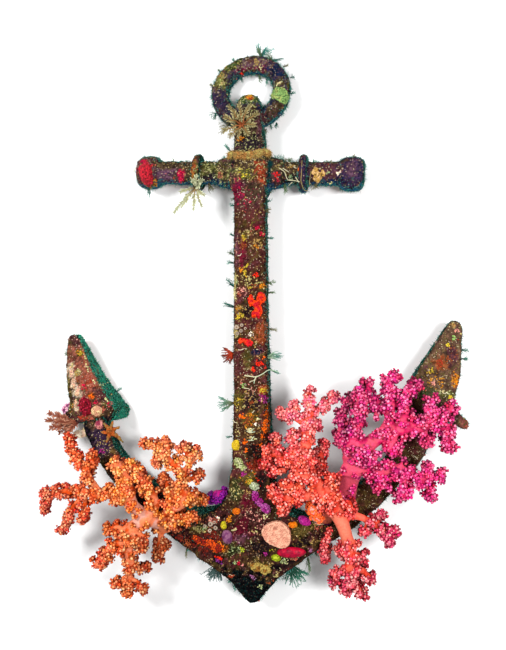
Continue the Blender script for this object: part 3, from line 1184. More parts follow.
# %% Scatter polyps over four lumps


def scatter_knobs(node, count, size, foot, body, tip, seed, reach=lambda points: 1.0):
    """Small polyps on one lump. reach says how likely they are at each place."""
    dice = np.random.default_rng(seed)
    centres, ways = spots_on(
        lumps[node], count, dice, lambda points, facing: (facing[:, 2] > -0.3) * reach(points)
    )
    sizes = dice.uniform(*size, (count, 1)) * (1, 1, 1.2)
    shade = dice.uniform(0.75, 1.25, (count, 1))
    turns = turned_to(ways, dice.uniform(0, 6, count))
    made = stamp(node + "_knobs", knob, centres + ways * sizes[:, 2:] * 0.4, turns, sizes,
                 rgb(foot) * shade, rgb(body) * shade, rgb(tip) * shade)
    made.data.materials.append(polyp_finish)
    grown_on(made)


knob = new_chip("knob", 6, 4, 1.0)
scatter_knobs("stalked_orange_coral", 190, (1.6, 2.4), "#a81c04", "#f0440c", "#fc7c40", 61,
              lambda points: points[:, 2] > 76)
scatter_knobs("magenta_sea_squirts", 170, (1.6, 2.8), "#0c0824", "#38105c", "#9c1c98", 62,
              lambda points: np.hypot(points[:, 0] + 58, points[:, 1] - 109) > 9)
scatter_knobs("fluke_red_sponge", 45, (1.2, 2.4), "#24040c", "#78081c", "#a42038", 63)
scatter_knobs("fluke_purple_squirt", 40, (1.8, 2.8), "#3c1430", "#904070", "#e8b0c0", 64)
bpy.data.objects.remove(knob)

# %% [markdown]
# ## Crust that stands proud
#
# From a step away the iron looks grainy because thousands of small things stand on it: scabs of
# sponge, crumbs of lime and young shells. Displacing the iron that finely would take millions of faces,
# so grains are scattered over the crust instead, mostly on the front. They take their colours from the
# same stretches, so paint and grains agree.

# %% Scatter scabs and crumbs
GRAIN_DENSITY = 0.75  # grains for each square centimetre
GRAIN_SIZE = (0.8, 2.3)
GRAIN_FLATNESS = 0.6
ACCENTS = np.array([COLOURS[name] for name in ("tan", "straw", "rose", "cream", "brick")])
ACCENT_SHARE = 0.05


def mostly_front(points, facing):
    """Likely on the front, less so on the sides and rare behind."""
    return 0.08 + (facing[:, 2] > 0.3) + 0.3 * (np.abs(facing[:, 2]) <= 0.3)


def scatter_grains(node, seed):
    """Grains on one iron piece, in number by its area, coloured by the stretch they stand on."""
    dice = np.random.default_rng(seed)
    count = round(square_cm(iron[node]) * GRAIN_DENSITY)
    centres, ways = spots_on(iron[node], count, dice, mostly_front)
    ground, fleck, share = crust_colours(centres, ways)
    body = np.where(dice.random((count, 1)) < share[:, None] * 0.8, fleck, ground * 1.15)
    picks = ACCENTS[dice.integers(0, len(ACCENTS), count)]
    # accents are rare on the darkest ground
    accent = ACCENT_SHARE * step_between(0.002, 0.012, ground.mean(axis=1))[:, None]
    body = np.where(dice.random((count, 1)) < accent, picks, body) * dice.uniform(0.6, 1.35, (count, 1))
    sizes = GRAIN_SIZE[0] + (GRAIN_SIZE[1] - GRAIN_SIZE[0]) * dice.random((count, 1)) ** 2
    widths = dice.uniform(0.7, 1.4, count)
    sizes = sizes * np.c_[widths, np.ones(count), GRAIN_FLATNESS * dice.uniform(0.7, 1.6, count)]
    turns = turned_to(ways + dice.normal(0, 0.25, ways.shape), dice.uniform(0, math.tau, count))
    made = stamp(f"{node}_grains_{seed}", grain, centres, turns, sizes, body * 0.4, body, body * 1.35)
    made.data.materials.append(porous)
    grown_on(made)


grain = new_chip("grain", 4, 3, 1.0)
flatten_foot(grain)
for seed, node in enumerate(iron, 70):
    scatter_grains(node, seed)

# %% [markdown]
# ### Small clumps
#
# Between the large sponges sit almost two hundred small ones, none longer than three centimetres:
# sponges, bryozoans and tufts of weed in clear colours. A model of each would look no richer than a spot,
# so each is a handful of the same grains, packed into a small ragged ellipse. A dense set of places is
# drawn once on every iron piece, and a clump takes the places that fall inside it on whichever piece lies
# uppermost there.

# %% Pack grains into clumps
CLUMPS = (
    # x, y, half width, half height, colour, share covered, and the turn where it has one
    (15, 573, 4, 4, "crimson", 1), (23, 562, 5, 3, "crimson", 0.7, -20), (-1, 566, 2.5, 4, "straw", 0.8, -30),
    (-9, 556, 3.5, 8, "mustard", 0.7, 40), (-9, 541, 4, 6, "rust", 0.8), (14, 540, 4.5, 4, "amber", 1, 20),
    (22, 544, 2.5, 4, "tan", 1, 20), (6, 583, 4, 5, "olive", 1), (-13, 498, 4, 5, "amber", 1),
    (-5, 504, 6, 2, "mustard", 1, 35), (-7, 491, 3, 7, "mustard", 1, 20), (1, 481, 7, 2, "straw", 1, 20),
    (-4, 475, 2, 7, "straw", 1, 25), (0, 466, 5, 2, "mustard", 1), (13, 487, 4, 4, "scarlet", 1),
    (24, 468, 5, 4, "amber", 1, 20), (21, 475, 4, 2, "straw", 0.8), (12, 468, 5, 4, "rust", 1),
    (29, 478, 3, 6, "rust", 0.8), (-24, 478, 2.2, 12, "straw", 1), (-27, 455, 2.5, 8, "cream", 1),
    (-16, 455, 4, 3, "rose", 0.7), (-10, 462, 4, 3, "pink", 0.6, 20), (-16, 418, 7, 5, "mustard", 1),
    (-19, 413, 4, 3, "yellow", 1), (-16, 430, 6, 4, "tan", 0.8), (22, 391, 8, 11, "rust", 0.3),
    (-23, 389, 4, 10, "straw", 0.9), (5, 384, 4, 4, "white", 0.8), (18, 333, 5, 6, "scarlet", 1, 25),
    (25, 342, 3, 3, "orange", 1), (9, 322, 4, 4, "scarlet", 1), (-8, 293, 5, 4.5, "leaf", 1),
    (-2, 281, 6, 2, "tan", 1, -25), (26, 285, 6, 4, "mustard", 0.8), (26, 271, 7, 7, "magenta", 0.6),
    (23, 271, 2, 4, "pink", 1), (5, 265, 4, 3, "rust", 1), (-17, 278, 8, 8, "olive", 0.5),
    (-18, 270, 3, 4, "mustard", 0.8), (-8, 257, 3, 2, "straw", 1), (-11, 240, 4.5, 5, "orange", 1),
    (3, 244, 4, 3, "amber", 0.8), (2, 232, 9, 9, "rust", 0.5), (16, 236, 4, 3, "cream", 1),
    (14, 226, 3, 3, "white", 0.8), (31, 244, 3, 8, "orange", 1), (31, 230, 3, 7, "orange", 1),
    (27, 218, 4, 7, "orange", 1, 20), (25, 206, 3, 5, "orange", 0.8), (2, 217, 6, 2.5, "cream", 0.8, 15),
    (-7, 196, 4, 4, "orange", 1), (-3, 181, 3, 3, "orange", 1), (21, 191, 4, 4, "orange", 1),
    (10, 203, 6, 2, "cream", 1, -15), (12, 157, 10, 6, "brick", 0.8), (22, 163, 5, 4, "scarlet", 0.8),
    (-7, 141, 4, 4, "magenta", 1), (3, 130, 5, 5, "mustard", 0.9), (2, 110, 5, 3, "tan", 1),
    (13, 98, 3, 7, "violet", 1, 15), (31, 72, 3, 5, "cream", 1, -30),
    # crown
    (-57, 62, 6, 5, "rose", 0.9), (-52, 66, 3, 3, "white", 1), (-66, 62, 3, 4, "pink", 0.8),
    (-33, 64, 4, 6, "amber", 1, -20), (-24, 47, 5, 2, "cream", 1, 10), (10, 63, 3, 2, "pink", 1),
    (12, 47, 5, 4, "straw", 0.6), (5, 27, 3, 3, "cream", 0.6), (-60, 36, 10, 6, "blood", 1, -25),
    (-54, 27, 7, 6, "blood", 0.8), (-80, 10, 12, 6, "blood", 1, -30), (-70, 20, 8, 5, "blood", 1, -20),
    (-45, 17, 5, 3, "orange", 1, -35), (-50, 24, 4, 2, "amber", 1, -40), (-108, 20, 8, 6, "rust", 0.8, -35),
    (-119, 28, 8, 5, "blood", 0.9, -35), (-88, 44, 11, 3, "straw", 0.8, -15),
    (-76, 46, 6, 3, "sage", 0.7, 25), (-50, -2, 6, 4, "scarlet", 1, -15), (-51, -8, 5, 3, "violet", 1, -30),
    (-12, 13, 6, 3, "lime", 0.6), (39, 16, 5, 2.5, "lime", 1, 10), (30, 8, 3, 3, "magenta", 1),
    (-10, -13, 3, 3, "pink", 1), (-16, -10, 3, 3, "crimson", 0.8), (7, -32, 5, 4, "lilac", 1),
    (-29, -32, 4, 3, "brick", 1), (4, -11, 6, 3, "tan", 1, -15), (12, -16, 6, 2.5, "cream", 1, -30),
    (-22, -8, 4, 3, "sage", 0.8), (92, 48, 12, 7, "olive", 0.8, 20), (125, 65, 8, 4, "pink", 1, 20),
    (120, 54, 8, 3, "rose", 1, 15), (120, 32, 14, 2.5, "tan", 1, 10), (107, 17, 4, 3, "lilac", 1),
    (63, -2, 6, 4, "sage", 0.9, 20), (80, 3, 5, 4, "rose", 0.9, 20), (81, 81, 5, 5, "amber", 1),
    (135, 65, 6, 6, "violet", 1), (20, -51, 6, 3, "sage", 0.6, 20), (37, -41, 6, 2.5, "rust", 0.8, 30),
    (50, -27, 7, 2.5, "straw", 0.9, 35), (-272, 173, 5, 4, "magenta", 0.8),
    # left fluke
    (-321, 351, 4, 4, "mustard", 1), (-335, 330, 2, 6, "straw", 0.8), (-336, 315, 4, 9, "blush", 1, 6),
    (-330, 295, 2, 9, "blush", 0.9, 8), (-320, 281, 5, 8, "blush", 1, 10),
    (-322, 258, 2.5, 7, "blush", 0.8, 5), (-323, 314, 4, 4, "tan", 1), (-309, 290, 4, 5, "crimson", 0.8, 14),
    (-298, 300, 6, 9, "brick", 0.3, 14), (-291, 272, 5, 3, "orange", 1), (-341, 283, 2.5, 13, "olive", 1, -4),
    (-337, 253, 3, 5, "tan", 1), (-310, 343, 1.6, 7, "straw", 0.8, 25), (-304, 325, 1.6, 7, "cream", 0.8, 20),
    (-287, 297, 1.6, 6, "cream", 0.8, 30), (-277, 294, 2, 3, "cream", 1),
    (-264, 267, 1.6, 6, "cream", 0.8, 40), (-351, 352, 3, 4, "mustard", 1), (-302, 243, 7, 5, "wine", 1, -15),
    (-306, 234, 9, 4, "brick", 1, -15), (-290, 232, 8, 4, "rose", 1, 15), (-268, 250, 4, 5, "rose", 1),
    (-258, 259, 4, 4, "crimson", 1), (-268, 221, 3, 3, "magenta", 1), (-284, 262, 3, 4, "crimson", 0.8),
    (-278, 226, 4, 5, "pink", 0.8),
    # right fluke
    (349, 375, 3, 5, "leaf", 1), (340, 363, 3, 2.5, "yellow", 1), (355, 387, 4, 3, "pink", 1),
    (310, 319, 5, 5, "mustard", 1), (326, 331, 4, 6, "brick", 0.9), (339, 340, 4, 4, "rust", 0.9),
    (314, 299, 4, 4, "pink", 0.8), (351, 304, 4, 8, "amber", 0.8, -10), (328, 285, 4, 2.5, "cream", 1),
    (341, 277, 4, 2.5, "yellow", 1), (365, 230, 5, 7, "rose", 0.8), (348, 396, 5, 4, "tan", 0.6),
    # stock, ring and head
    (-192, 661, 7, 3, "tan", 1, -10), (-178, 665, 3, 6, "amber", 1), (-128, 676, 5, 10, "crimson", 0.6),
    (-114, 675, 6, 12, "tan", 0.3), (-101, 683, 3.5, 9, "rust", 1), (-66, 680, 14, 8, "straw", 0.25),
    (-53, 672, 4, 4, "rose", 1), (-22, 640, 8, 12, "wine", 0.5), (-4, 667, 5, 3, "mustard", 0.8),
    (22, 667, 6, 8, "brick", 0.4), (49, 667, 5, 5, "scarlet", 0.6), (55, 657, 6, 4, "crimson", 0.5),
    (23, 709, 6, 4, "mustard", 1, 10), (27, 711, 4, 2.5, "lime", 0.7), (76, 682, 6, 2.5, "tan", 1),
    (87, 672, 3, 6, "orange", 0.9), (70, 688, 10, 4, "moss", 0.7), (160, 665, 5, 3, "white", 0.8, 20),
    (140, 667, 3, 2, "sage", 1), (145, 652, 2, 1.5, "cream", 0.8), (186, 652, 4, 3, "slate", 0.5),
    (-20, 871, 2.5, 2.5, "scarlet", 1), (51, 841, 4, 3, "cream", 0.8), (-57, 866, 8, 6, "tan", 0.5),
    (-56, 846, 7, 3, "straw", 0.7, 50), (-49, 886, 4, 3, "mustard", 0.8, 30), (10, 888, 3, 6, "tan", 0.9, 10),
    (17, 880, 2.5, 4, "cream", 0.6), (-1, 818, 6, 4, "mustard", 0.6), (0, 812, 4, 3, "amber", 1),
    (4, 808, 4, 3, "brick", 1), (-15, 735, 6, 5, "amber", 0.7), (-38, 745, 4, 8, "black", 0.8),
    (-52, 890, 9, 2, "mustard", 0.8, 35),
)
DENSE_SPOTS = 40000  # places drawn on each iron piece
GRAIN_ROOM = 2.6  # square millimetres for each grain of a full clump
RAGGEDNESS = 0.9
dice = np.random.default_rng(160)
dense = {
    node: spots_on(obj, DENSE_SPOTS, dice, lambda points, facing: facing[:, 2] > 0.2)
    for node, obj in iron.items()
}
handfuls = {node: ([], [], []) for node in iron}
for x, y, half_x, half_y, colour, share, *turned in CLUMPS:
    turn = math.radians(sum(turned))
    c, s = math.cos(turn), math.sin(turn)
    inside = {}
    for node, (spots, _) in dense.items():
        near = np.flatnonzero(np.abs(spots[:, :2] - (x, y)).max(axis=1) < 2 * max(half_x, half_y))
        off_x, off_y = spots[near, 0] - x, spots[near, 1] - y
        reach = np.hypot((off_x * c + off_y * s) / half_x, (off_y * c - off_x * s) / half_y)
        inside[node] = near[reach + RAGGEDNESS * soft_noise(spots[near], 3.5, 9) < 1]
    node = max(inside, key=lambda name: dense[name][0][inside[name], 2].max(initial=-1))
    wanted = min(len(inside[node]), round(math.pi * half_x * half_y * share / GRAIN_ROOM) + 2)
    chosen = dice.choice(inside[node], wanted, replace=False)
    spots, ways = dense[node]
    for kept, values in zip(handfuls[node], (spots[chosen], ways[chosen], [COLOURS[colour]] * wanted)):
        kept.extend(values)
for node, (centres, ways, body) in handfuls.items():
    count = len(centres)
    body = np.array(body) * dice.uniform(0.5, 1.15, (count, 1)) * dice.uniform(0.85, 1.15, (count, 3))
    sizes = dice.uniform(1.0, 1.9, (count, 1)) * (1, 1, 0.9)
    ways = np.array(ways) + dice.normal(0, 0.3, (count, 3))
    turns = turned_to(ways, dice.uniform(0, 6, count))
    made = stamp(node + "_clumps", grain, np.array(centres), turns, sizes, body * 0.4, body, body * 1.2)
    made.data.materials.append(porous)
    grown_on(made)
    print(node, "has", count, "grains in clumps")
bpy.data.objects.remove(grain)

# %% [markdown]
# ## Barnacles
#
# An acorn barnacle is a blunt cone of wall plates with a crater on top. A turned profile would give the
# cone but no plates. So one is modelled from a ten-sided cone: its top is inset and pushed in, and every
# second side edge is drawn in, which marks the plates. The solids hold two clusters of them, and single
# young ones are dotted about.

# %% Model one barnacle and set them out
BARNACLES = {
    # solid: the height that they stand on, then each shell as x, y, radius
    "shank_barnacles": (60.5, ((-22, 396, 6), (-13, 390, 5), (-20, 385, 5), (-12, 400, 4.5), (-6, 394, 4))),
    "crown_barnacles": (67.5, ((-66, 54, 6.5), (-57, 48, 5.5), (-67, 43, 5), (-76, 50, 5), (-59, 58, 4.5))),
}
YOUNG = (("shank_and_arms", 26), ("stock", 7), ("right_fluke", 6), ("ring", 4))
YOUNG_RADIUS = (1.3, 2.6)
bpy.ops.object.select_all(action="DESELECT")
bpy.ops.mesh.primitive_cone_add(
    vertices=10, radius1=MM, radius2=0.5 * MM, depth=1.1 * MM, location=(0, 0, 0.45 * MM)
)
barnacle = bpy.context.object
bpy.ops.object.mode_set(mode="EDIT")
bpy.ops.mesh.select_mode(type="FACE")
bpy.ops.mesh.select_all(action="DESELECT")
bpy.ops.object.mode_set(mode="OBJECT")
for face in barnacle.data.polygons:
    face.select = face.normal.z > 0.9
bpy.ops.object.mode_set(mode="EDIT")
bpy.ops.mesh.inset(thickness=0.14 * MM)
bpy.ops.transform.translate(value=(0, 0, -0.7 * MM))
bpy.ops.transform.resize(value=(0.5, 0.5, 1))
bpy.ops.object.mode_set(mode="OBJECT")
apply_all(barnacle)
points = places(barnacle.data)
spoke = np.round(np.degrees(np.arctan2(points[:, 1], points[:, 0])) / 36).astype(int) % 2 == 0
points[spoke, :2] *= 0.86
move_to(barnacle.data, points)
print("barnacle:", len(barnacle.data.polygons), "faces")


def set_barnacles(name, centres, ways, sizes, seed):
    """Barnacles of these radii at these places, as one mesh."""
    dice = np.random.default_rng(seed)
    count = len(centres)
    shade = dice.uniform(0.75, 1.1, (count, 1))
    sizes = sizes[:, None] * np.c_[np.ones((count, 2)), dice.uniform(0.8, 1.3, count)]
    made = stamp(name, barnacle, centres, turned_to(ways, dice.uniform(0, 6, count)), sizes,
                 rgb("#443430") * shade, rgb("#7c6458") * shade, rgb("#b4a08c") * shade)
    made.data.materials.append(limy)
    return made


for seed, (node, (height, shells)) in enumerate(BARNACLES.items(), 80):
    rows = np.array(shells, float)
    centres = np.c_[rows[:, :2], np.full(len(rows), height - 1.0)]
    ways = np.random.default_rng(seed).normal(0, 0.15, centres.shape) + (0, 0, 1)
    stand_for(set_barnacles(node + "_shells", centres, ways, rows[:, 2], seed), node)
for seed, (node, count) in enumerate(YOUNG, 84):
    dice = np.random.default_rng(seed)
    centres, ways = spots_on(iron[node], count, dice, mostly_front)
    radii = dice.uniform(*YOUNG_RADIUS, count)
    grown_on(set_barnacles(f"{node}_young_barnacles", centres, ways, radii, seed))
bpy.data.objects.remove(barnacle)

# %% [markdown]
# ## Fronds, plumes and worms
#
# Hydroids, crinoids and tube worms are strands. A strand is a tapered curve, and many strands become
# one mesh. A leafy frond is a strand with lobes stamped down both of its sides, longest in the middle.
# Flat cards with painted leaves would be lighter, but they vanish when seen from the edge.

# %% Strands and leafy fronds
LOBE_GAP = 4.2  # between the lobes of a frond, in mm
FROND_STEPS = 7
FROND_RADII = (1.4, 0.8)


def strands(name, lines, foot, tip, sides=0):
    """Tapered tubes through (points, radii) in mm, coloured from their first point to their last."""
    obj = tubes(name, lines, sides)
    bpy.ops.object.mode_set(mode="EDIT")
    bpy.ops.mesh.select_all(action="SELECT")
    bpy.ops.mesh.remove_doubles(threshold=0.005 * MM)
    bpy.ops.mesh.normals_make_consistent(inside=False)
    bpy.ops.object.mode_set(mode="OBJECT")
    root = np.array(lines[0][0][0])
    away = np.linalg.norm(places(obj.data) - root, axis=1)
    colours = blend(rgb(foot)[None], rgb(tip)[None], np.clip(away / away.max() * 1.15, 0, 1))
    tint(obj.data, colours)
    obj.data.shade_smooth()
    obj.data.materials.append(fibrous)
    return obj


def arched(root, tip, steps, rise, wander, dice):
    """Points from root to tip on an arch that wanders a little."""
    root, tip = np.array(root, float), np.array(tip, float)
    length = np.linalg.norm(tip - root)
    out = []
    for t in np.linspace(0, 1, steps):
        lift = np.array((0, 0, rise * length * 4 * t * (1 - t)))
        out.append(root + (tip - root) * t + lift + dice.normal(0, wander * length, 3) * t * (1 - t) * 4)
    return out


def leafy(name, root, tips, lobe_length, colours, seed, heart=None):
    """Flat fronds with lobes down both sides, from one root to each tip."""
    dice = np.random.default_rng(seed)
    centres, ways, sizes, spins, lines = [], [], [], [], []
    for tip in tips:
        line = arched(root, tip, FROND_STEPS, 0.12, 0.03, dice)
        lines.append((line, np.linspace(*FROND_RADII, FROND_STEPS)))
        pairs = max(8, round(np.linalg.norm(line[-1] - line[0]) / LOBE_GAP))
        plane = np.cross(line[-1] - line[0], (dice.normal(0, 0.4), dice.normal(0, 0.4), 1))
        plane /= np.linalg.norm(plane)
        for t in np.linspace(0.28, 1.0, pairs):
            at = t * (FROND_STEPS - 1)
            low = min(int(at), FROND_STEPS - 2)
            centre = line[low] + (line[low + 1] - line[low]) * (at - low)
            ahead = (line[low + 1] - line[low]) / np.linalg.norm(line[low + 1] - line[low])
            long = lobe_length * (0.45 + 0.65 * math.sin(math.pi * (0.15 + 0.7 * t))) * dice.uniform(0.8, 1.2)
            for side in (-1, 1):
                way = ahead * 0.75 + plane * side * 0.75 + dice.normal(0, 0.12, 3)
                way /= np.linalg.norm(way)
                centres.append(centre + way * long * 0.42)
                ways.append(way)
                sizes.append((long * 0.17, long * 0.1, long * 0.55))
                spins.append(dice.uniform(-0.4, 0.4))
    shade = dice.uniform(0.75, 1.2, (len(centres), 1))
    foot, body, tip_colour = (rgb(code) * shade for code in colours)
    turns = turned_to(np.array(ways), np.array(spins))
    leaves = stamp(name, lobe, np.array(centres), turns, np.array(sizes), foot, body, tip_colour)
    leaves.data.materials.append(fibrous)
    return join(name, [leaves, strands(name + " stalks", lines, heart or colours[0], colours[1])])


fibrous = living_finish("fibrous fronds", 1.2, 0.2, 0.2, 0.75)
lobe = new_chip("lobe", 6, 3, 1.0)
print("lobe:", len(lobe.data.polygons), "faces")

# %% [markdown]
# The fronds start and end where the solids' fronds do, so the same roots and tips are listed here.

# %% Leafy fronds on the head and under the left collar
HEAD_TIPS = (
    (-48, 748, 64), (-40, 770, 78), (-34, 792, 70), (-14, 796, 76), (6, 790, 74), (18, 776, 72),
    (14, 752, 80), (2, 738, 74), (-16, 732, 74), (-32, 734, 76), (-10, 764, 92),
)
STRAW = ("#2c2814", "#7c7044", "#c8bc8c")
COLLAR_TIPS = (
    (-138, 606, 60), (-120, 612, 72), (-100, 608, 66), (-86, 616, 60), (-80, 634, 66), (-122, 640, 72),
)
COLLAR_LEAVES = ((-92, 667, 74), (-82, 660, 74), (-86, 648, 78), (-101, 662, 72), (-94, 656, 84))
PALE_SAGE = ("#5c6444", "#a8ac84", "#d4d4b4")
stand_for(leafy("head_fronds", (-12, 760, 62), HEAD_TIPS, 7.5, STRAW, 101, "#a0502c"), "head_feather_tuft")
collar_root = (-100, 652, 52)
stand_for(
    join("collar_fronds", [
        leafy("drooping fronds", collar_root, COLLAR_TIPS, 6.5, PALE_SAGE, 112, "#8c6c44"),
        leafy("short leaves", collar_root, COLLAR_LEAVES, 7.0, PALE_SAGE, 113),
    ]),
    "left_collar_feather_tuft",
)

# %% [markdown]
# The star sponge on the left arm has thick tapering arms. Metaballs would melt together just as well but
# give round ends. So the arms are strands too, melted into one skin by the remesh.

# %% The star sponge
STAR_ROOT = (-256, 208, 54)
STAR_TIPS = (
    (-268, 224, 58), (-250, 228, 60), (-238, 218, 56), (-232, 190, 52), (-262, 190, 60), (-274, 208, 56),
    (-254, 210, 68),
)
dice = np.random.default_rng(104)
arms = [(arched(STAR_ROOT, tip, 5, 0.1, 0.05, dice), np.linspace(5.0, 1.6, 5)) for tip in STAR_TIPS]
star = strands("star_sponge_arms", arms, "#e07424", "#b09454", sides=2)
roughen(star, 1.0, (("CLOUDS", 4, 2.4), ("CLOUDS", 9, 2.6)))
points = places(star.data)
away = np.linalg.norm(points - STAR_ROOT, axis=1) + 12 * soft_noise(points, 6, 3)
tones = blend(rgb("#b4541c"), rgb("#7c6434"), step_between(6, 24, away))
pit = step_between(-0.06, 0.12, hollows(star.data) + 0.12 * soft_noise(points, 3, 12))
tint(star.data, blend(tones, rgb("#5c3010"), pit))
star.data.materials[0] = porous
stand_for(star, "arm_star_sponge")

# %% [markdown]
# A plume has no lobes. It is a bundle of fine strands that fan out from one root, some with short side
# hairs. Hairs from a particle system would have to be turned into mesh for the export anyway, and these
# end where the solid's tips are. The plume on the left fluke has leafy fronds and strands.

# %% Plumes and sprays
PLUME_STEPS = 5
OFF_FLOOR = 1.5


def plume(name, root, tips, count, radius, spread, foot, tip, seed, branches=0):
    """Fine strands from one root that fan out between the tips. Each may carry short side hairs."""
    dice = np.random.default_rng(seed)
    root, tips = np.array(root, float), np.array(tips, float)
    lines = []
    for _ in range(count):
        a, b = tips[dice.integers(0, len(tips), 2)]
        aim = a + (b - a) * dice.uniform(0, 0.35)
        end = root + (aim - root) * dice.uniform(0.75, 1.0) + dice.normal(0, spread, 3)
        end[2] = max(end[2], OFF_FLOOR)
        line = arched(root + dice.normal(0, spread * 0.4, 3), end, PLUME_STEPS, 0.08, 0.05, dice)
        lines.append((line, radius * np.linspace(1.2, 0.45, PLUME_STEPS)))
        for _ in range(branches):
            at = dice.uniform(0.35, 1.0) * (PLUME_STEPS - 1)
            low = min(int(at), PLUME_STEPS - 2)
            start = line[low] + (line[low + 1] - line[low]) * (at - low)
            ahead = line[low + 1] - line[low]
            side = np.cross(ahead, dice.normal(0, 1, 3))
            side /= np.linalg.norm(side)
            twig = start + ahead / np.linalg.norm(ahead) * 3.0 + side * dice.uniform(2.0, 4.0)
            lines.append(([start, (start + twig) / 2, twig], radius * np.array((0.7, 0.6, 0.4))))
    return strands(name, lines, foot, tip)


BROWN_TIPS = (
    (-374, 242, 60), (-376, 228, 66), (-370, 214, 62), (-354, 206, 58), (-340, 204, 66), (-350, 226, 78),
    (-326, 212, 76),
)
plume_root = (-318, 226, 54)
stand_for(
    join("brown_plume", [
        leafy("brown fronds", plume_root, BROWN_TIPS, 9.0, ("#4c1c14", "#8c4834", "#c09478"), 114),
        plume("brown strands", plume_root, BROWN_TIPS, 30, 0.9, 2.2, "#7c2c1c", "#b88868", 111),
    ]),
    "fluke_feather_plume",
)
FAN_TIPS = ((-50, 360, 48), (-54, 346, 44), (-47, 334, 50), (-42, 345, 52), (-37, 331, 46))
stand_for(
    plume("red_fan_strands", (-30, 350, 46), FAN_TIPS, 40, 1.1, 1.6, "#c8380c", "#5c342c", 103, branches=2),
    "shank_red_fan",
)
TEAL_TUFTS = {
    # solid: root, tips, how many strands, colour at the root and at the tips
    "shank_right_twigs": (
        (28, 345, 44), ((58, 352, 46), (56, 340, 40), (46, 330, 50)), 7, "#b0b890", "#4c9080",
    ),
    "shank_left_twigs": (
        (-31, 262, 46), ((-56, 274, 48), (-60, 258, 42), (-48, 246, 50)), 26, "#6c6440", "#5c9884",
    ),
    "crown_left_tuft": (
        (-58, -20, 44), ((-84, -42, 46), (-74, -50, 54), (-62, -52, 42), (-50, -50, 50)),
        40, "#2c3430", "#506c68",
    ),
    "crown_right_tuft": (
        (72, -16, 44), ((96, -44, 46), (84, -50, 54), (72, -50, 42), (60, -46, 50), (104, -30, 44)),
        48, "#1c2c20", "#387c64",
    ),
    "ring_top_tuft": (
        (14, 903, 20), ((4, 926, 24), (18, 930, 30), (30, 920, 22), (42, 912, 26)),
        22, "#1c4c48", "#389484",
    ),
}
for seed, (node, (root, tips, count, foot, tip)) in enumerate(TEAL_TUFTS.items(), 120):
    stand_for(plume(node + "_hairs", root, tips, count, 0.75, 2.0, foot, tip, seed, branches=3), node)
bpy.data.objects.remove(lobe)

# %% [markdown]
# Small tufts of weed stand along the edges of the iron, and thin twigs lie across the stock and the shank.
# Parts that thin are too frail for a solid, so both are made here alone. A tuft is a small plume that
# starts inside the edge. A twig is a smooth curve through a few places, laid just above the crust. A ray
# cast down on the crust would give its height, but the dense set of places drawn for the clumps is at
# hand already.

# %% Tufts on the edges and twigs across the front
EDGE_TUFTS = {
    # solid: height, then each tuft as its root and its tips
    "ring": (24, (
        ((16, 902), (9, 919), (17, 910)), ((37, 892), (21, 909), (33, 908), (26, 903)),
        ((40, 892), (59, 898)),
        ((73, 859), (77, 862)), ((74, 827), (80, 827)), ((-70, 798), (-81, 800), (-77, 787), (-72, 788)),
        ((-21, 865), (-22, 855), (-18, 856)), ((13, 864), (16, 853)), ((27, 855), (28, 846)),
        ((34, 771), (37, 762)), ((45, 771), (43, 764)), ((26, 761), (28, 755)), ((38, 825), (34, 827)),
        ((-74, 850), (-80, 853)), ((-62, 880), (-66, 886)), ((60, 880), (66, 884)), ((-34, 896), (-38, 902)),
    )),
    "stock": (40, (
        ((-148, 703), (-153, 708), (-143, 710)), ((-193, 656), (-192, 640), (-201, 650)),
        ((-77, 659), (-80, 649), (-67, 648), (-73, 646)), ((-44, 703), (-49, 709)), ((-39, 721), (-49, 733)),
        ((51, 692), (45, 706), (49, 708), (56, 707), (63, 705)), ((71, 693), (69, 702), (75, 703)),
        ((117, 687), (113, 696), (120, 695)), ((140, 686), (136, 692), (147, 691)),
        ((63, 651), (62, 636), (66, 636)), ((117, 650), (121, 642), (111, 643)), ((199, 677), (205, 681)),
        ((186, 693), (185, 699)), ((-120, 703), (-122, 709)), ((60, 692), (66, 702), (58, 704)),
    )),
    "shank_and_arms": (42, (
        ((-29, 563), (-40, 568)), ((-33, 530), (-42, 534), (-37, 538)), ((-33, 514), (-40, 516)),
        ((-33, 473), (-40, 478), (-47, 487)), ((-34, 435), (-49, 440), (-55, 438)), ((-30, 631), (-36, 631)),
        ((-30, 618), (-36, 619)), ((-35, 202), (-41, 201)), ((29, 622), (37, 624)),
        ((28, 607), (39, 608), (34, 605)), ((33, 557), (41, 557)), ((33, 476), (48, 476), (40, 472)),
        ((33, 458), (43, 460)), ((35, 394), (46, 392)), ((36, 347), (61, 344)),
        ((36, 322), (55, 314), (47, 315)),
        ((-42, 770), (-63, 762), (-60, 749), (-48, 756), (-60, 771), (-55, 778)),
        ((-115, 0), (-118, -12)), ((-35, -42), (-39, -53)), ((-29, -52), (-26, -62)),
        ((101, -7), (105, -27), (99, -20)), ((115, 9), (118, 1)),
    )),
    "left_fluke": (44, (((-346, 352), (-354, 353), (-352, 348)), ((-247, 283), (-238, 288)))),
    "right_fluke": (44, (((364, 355), (371, 355)), ((364, 340), (370, 340)))),
}
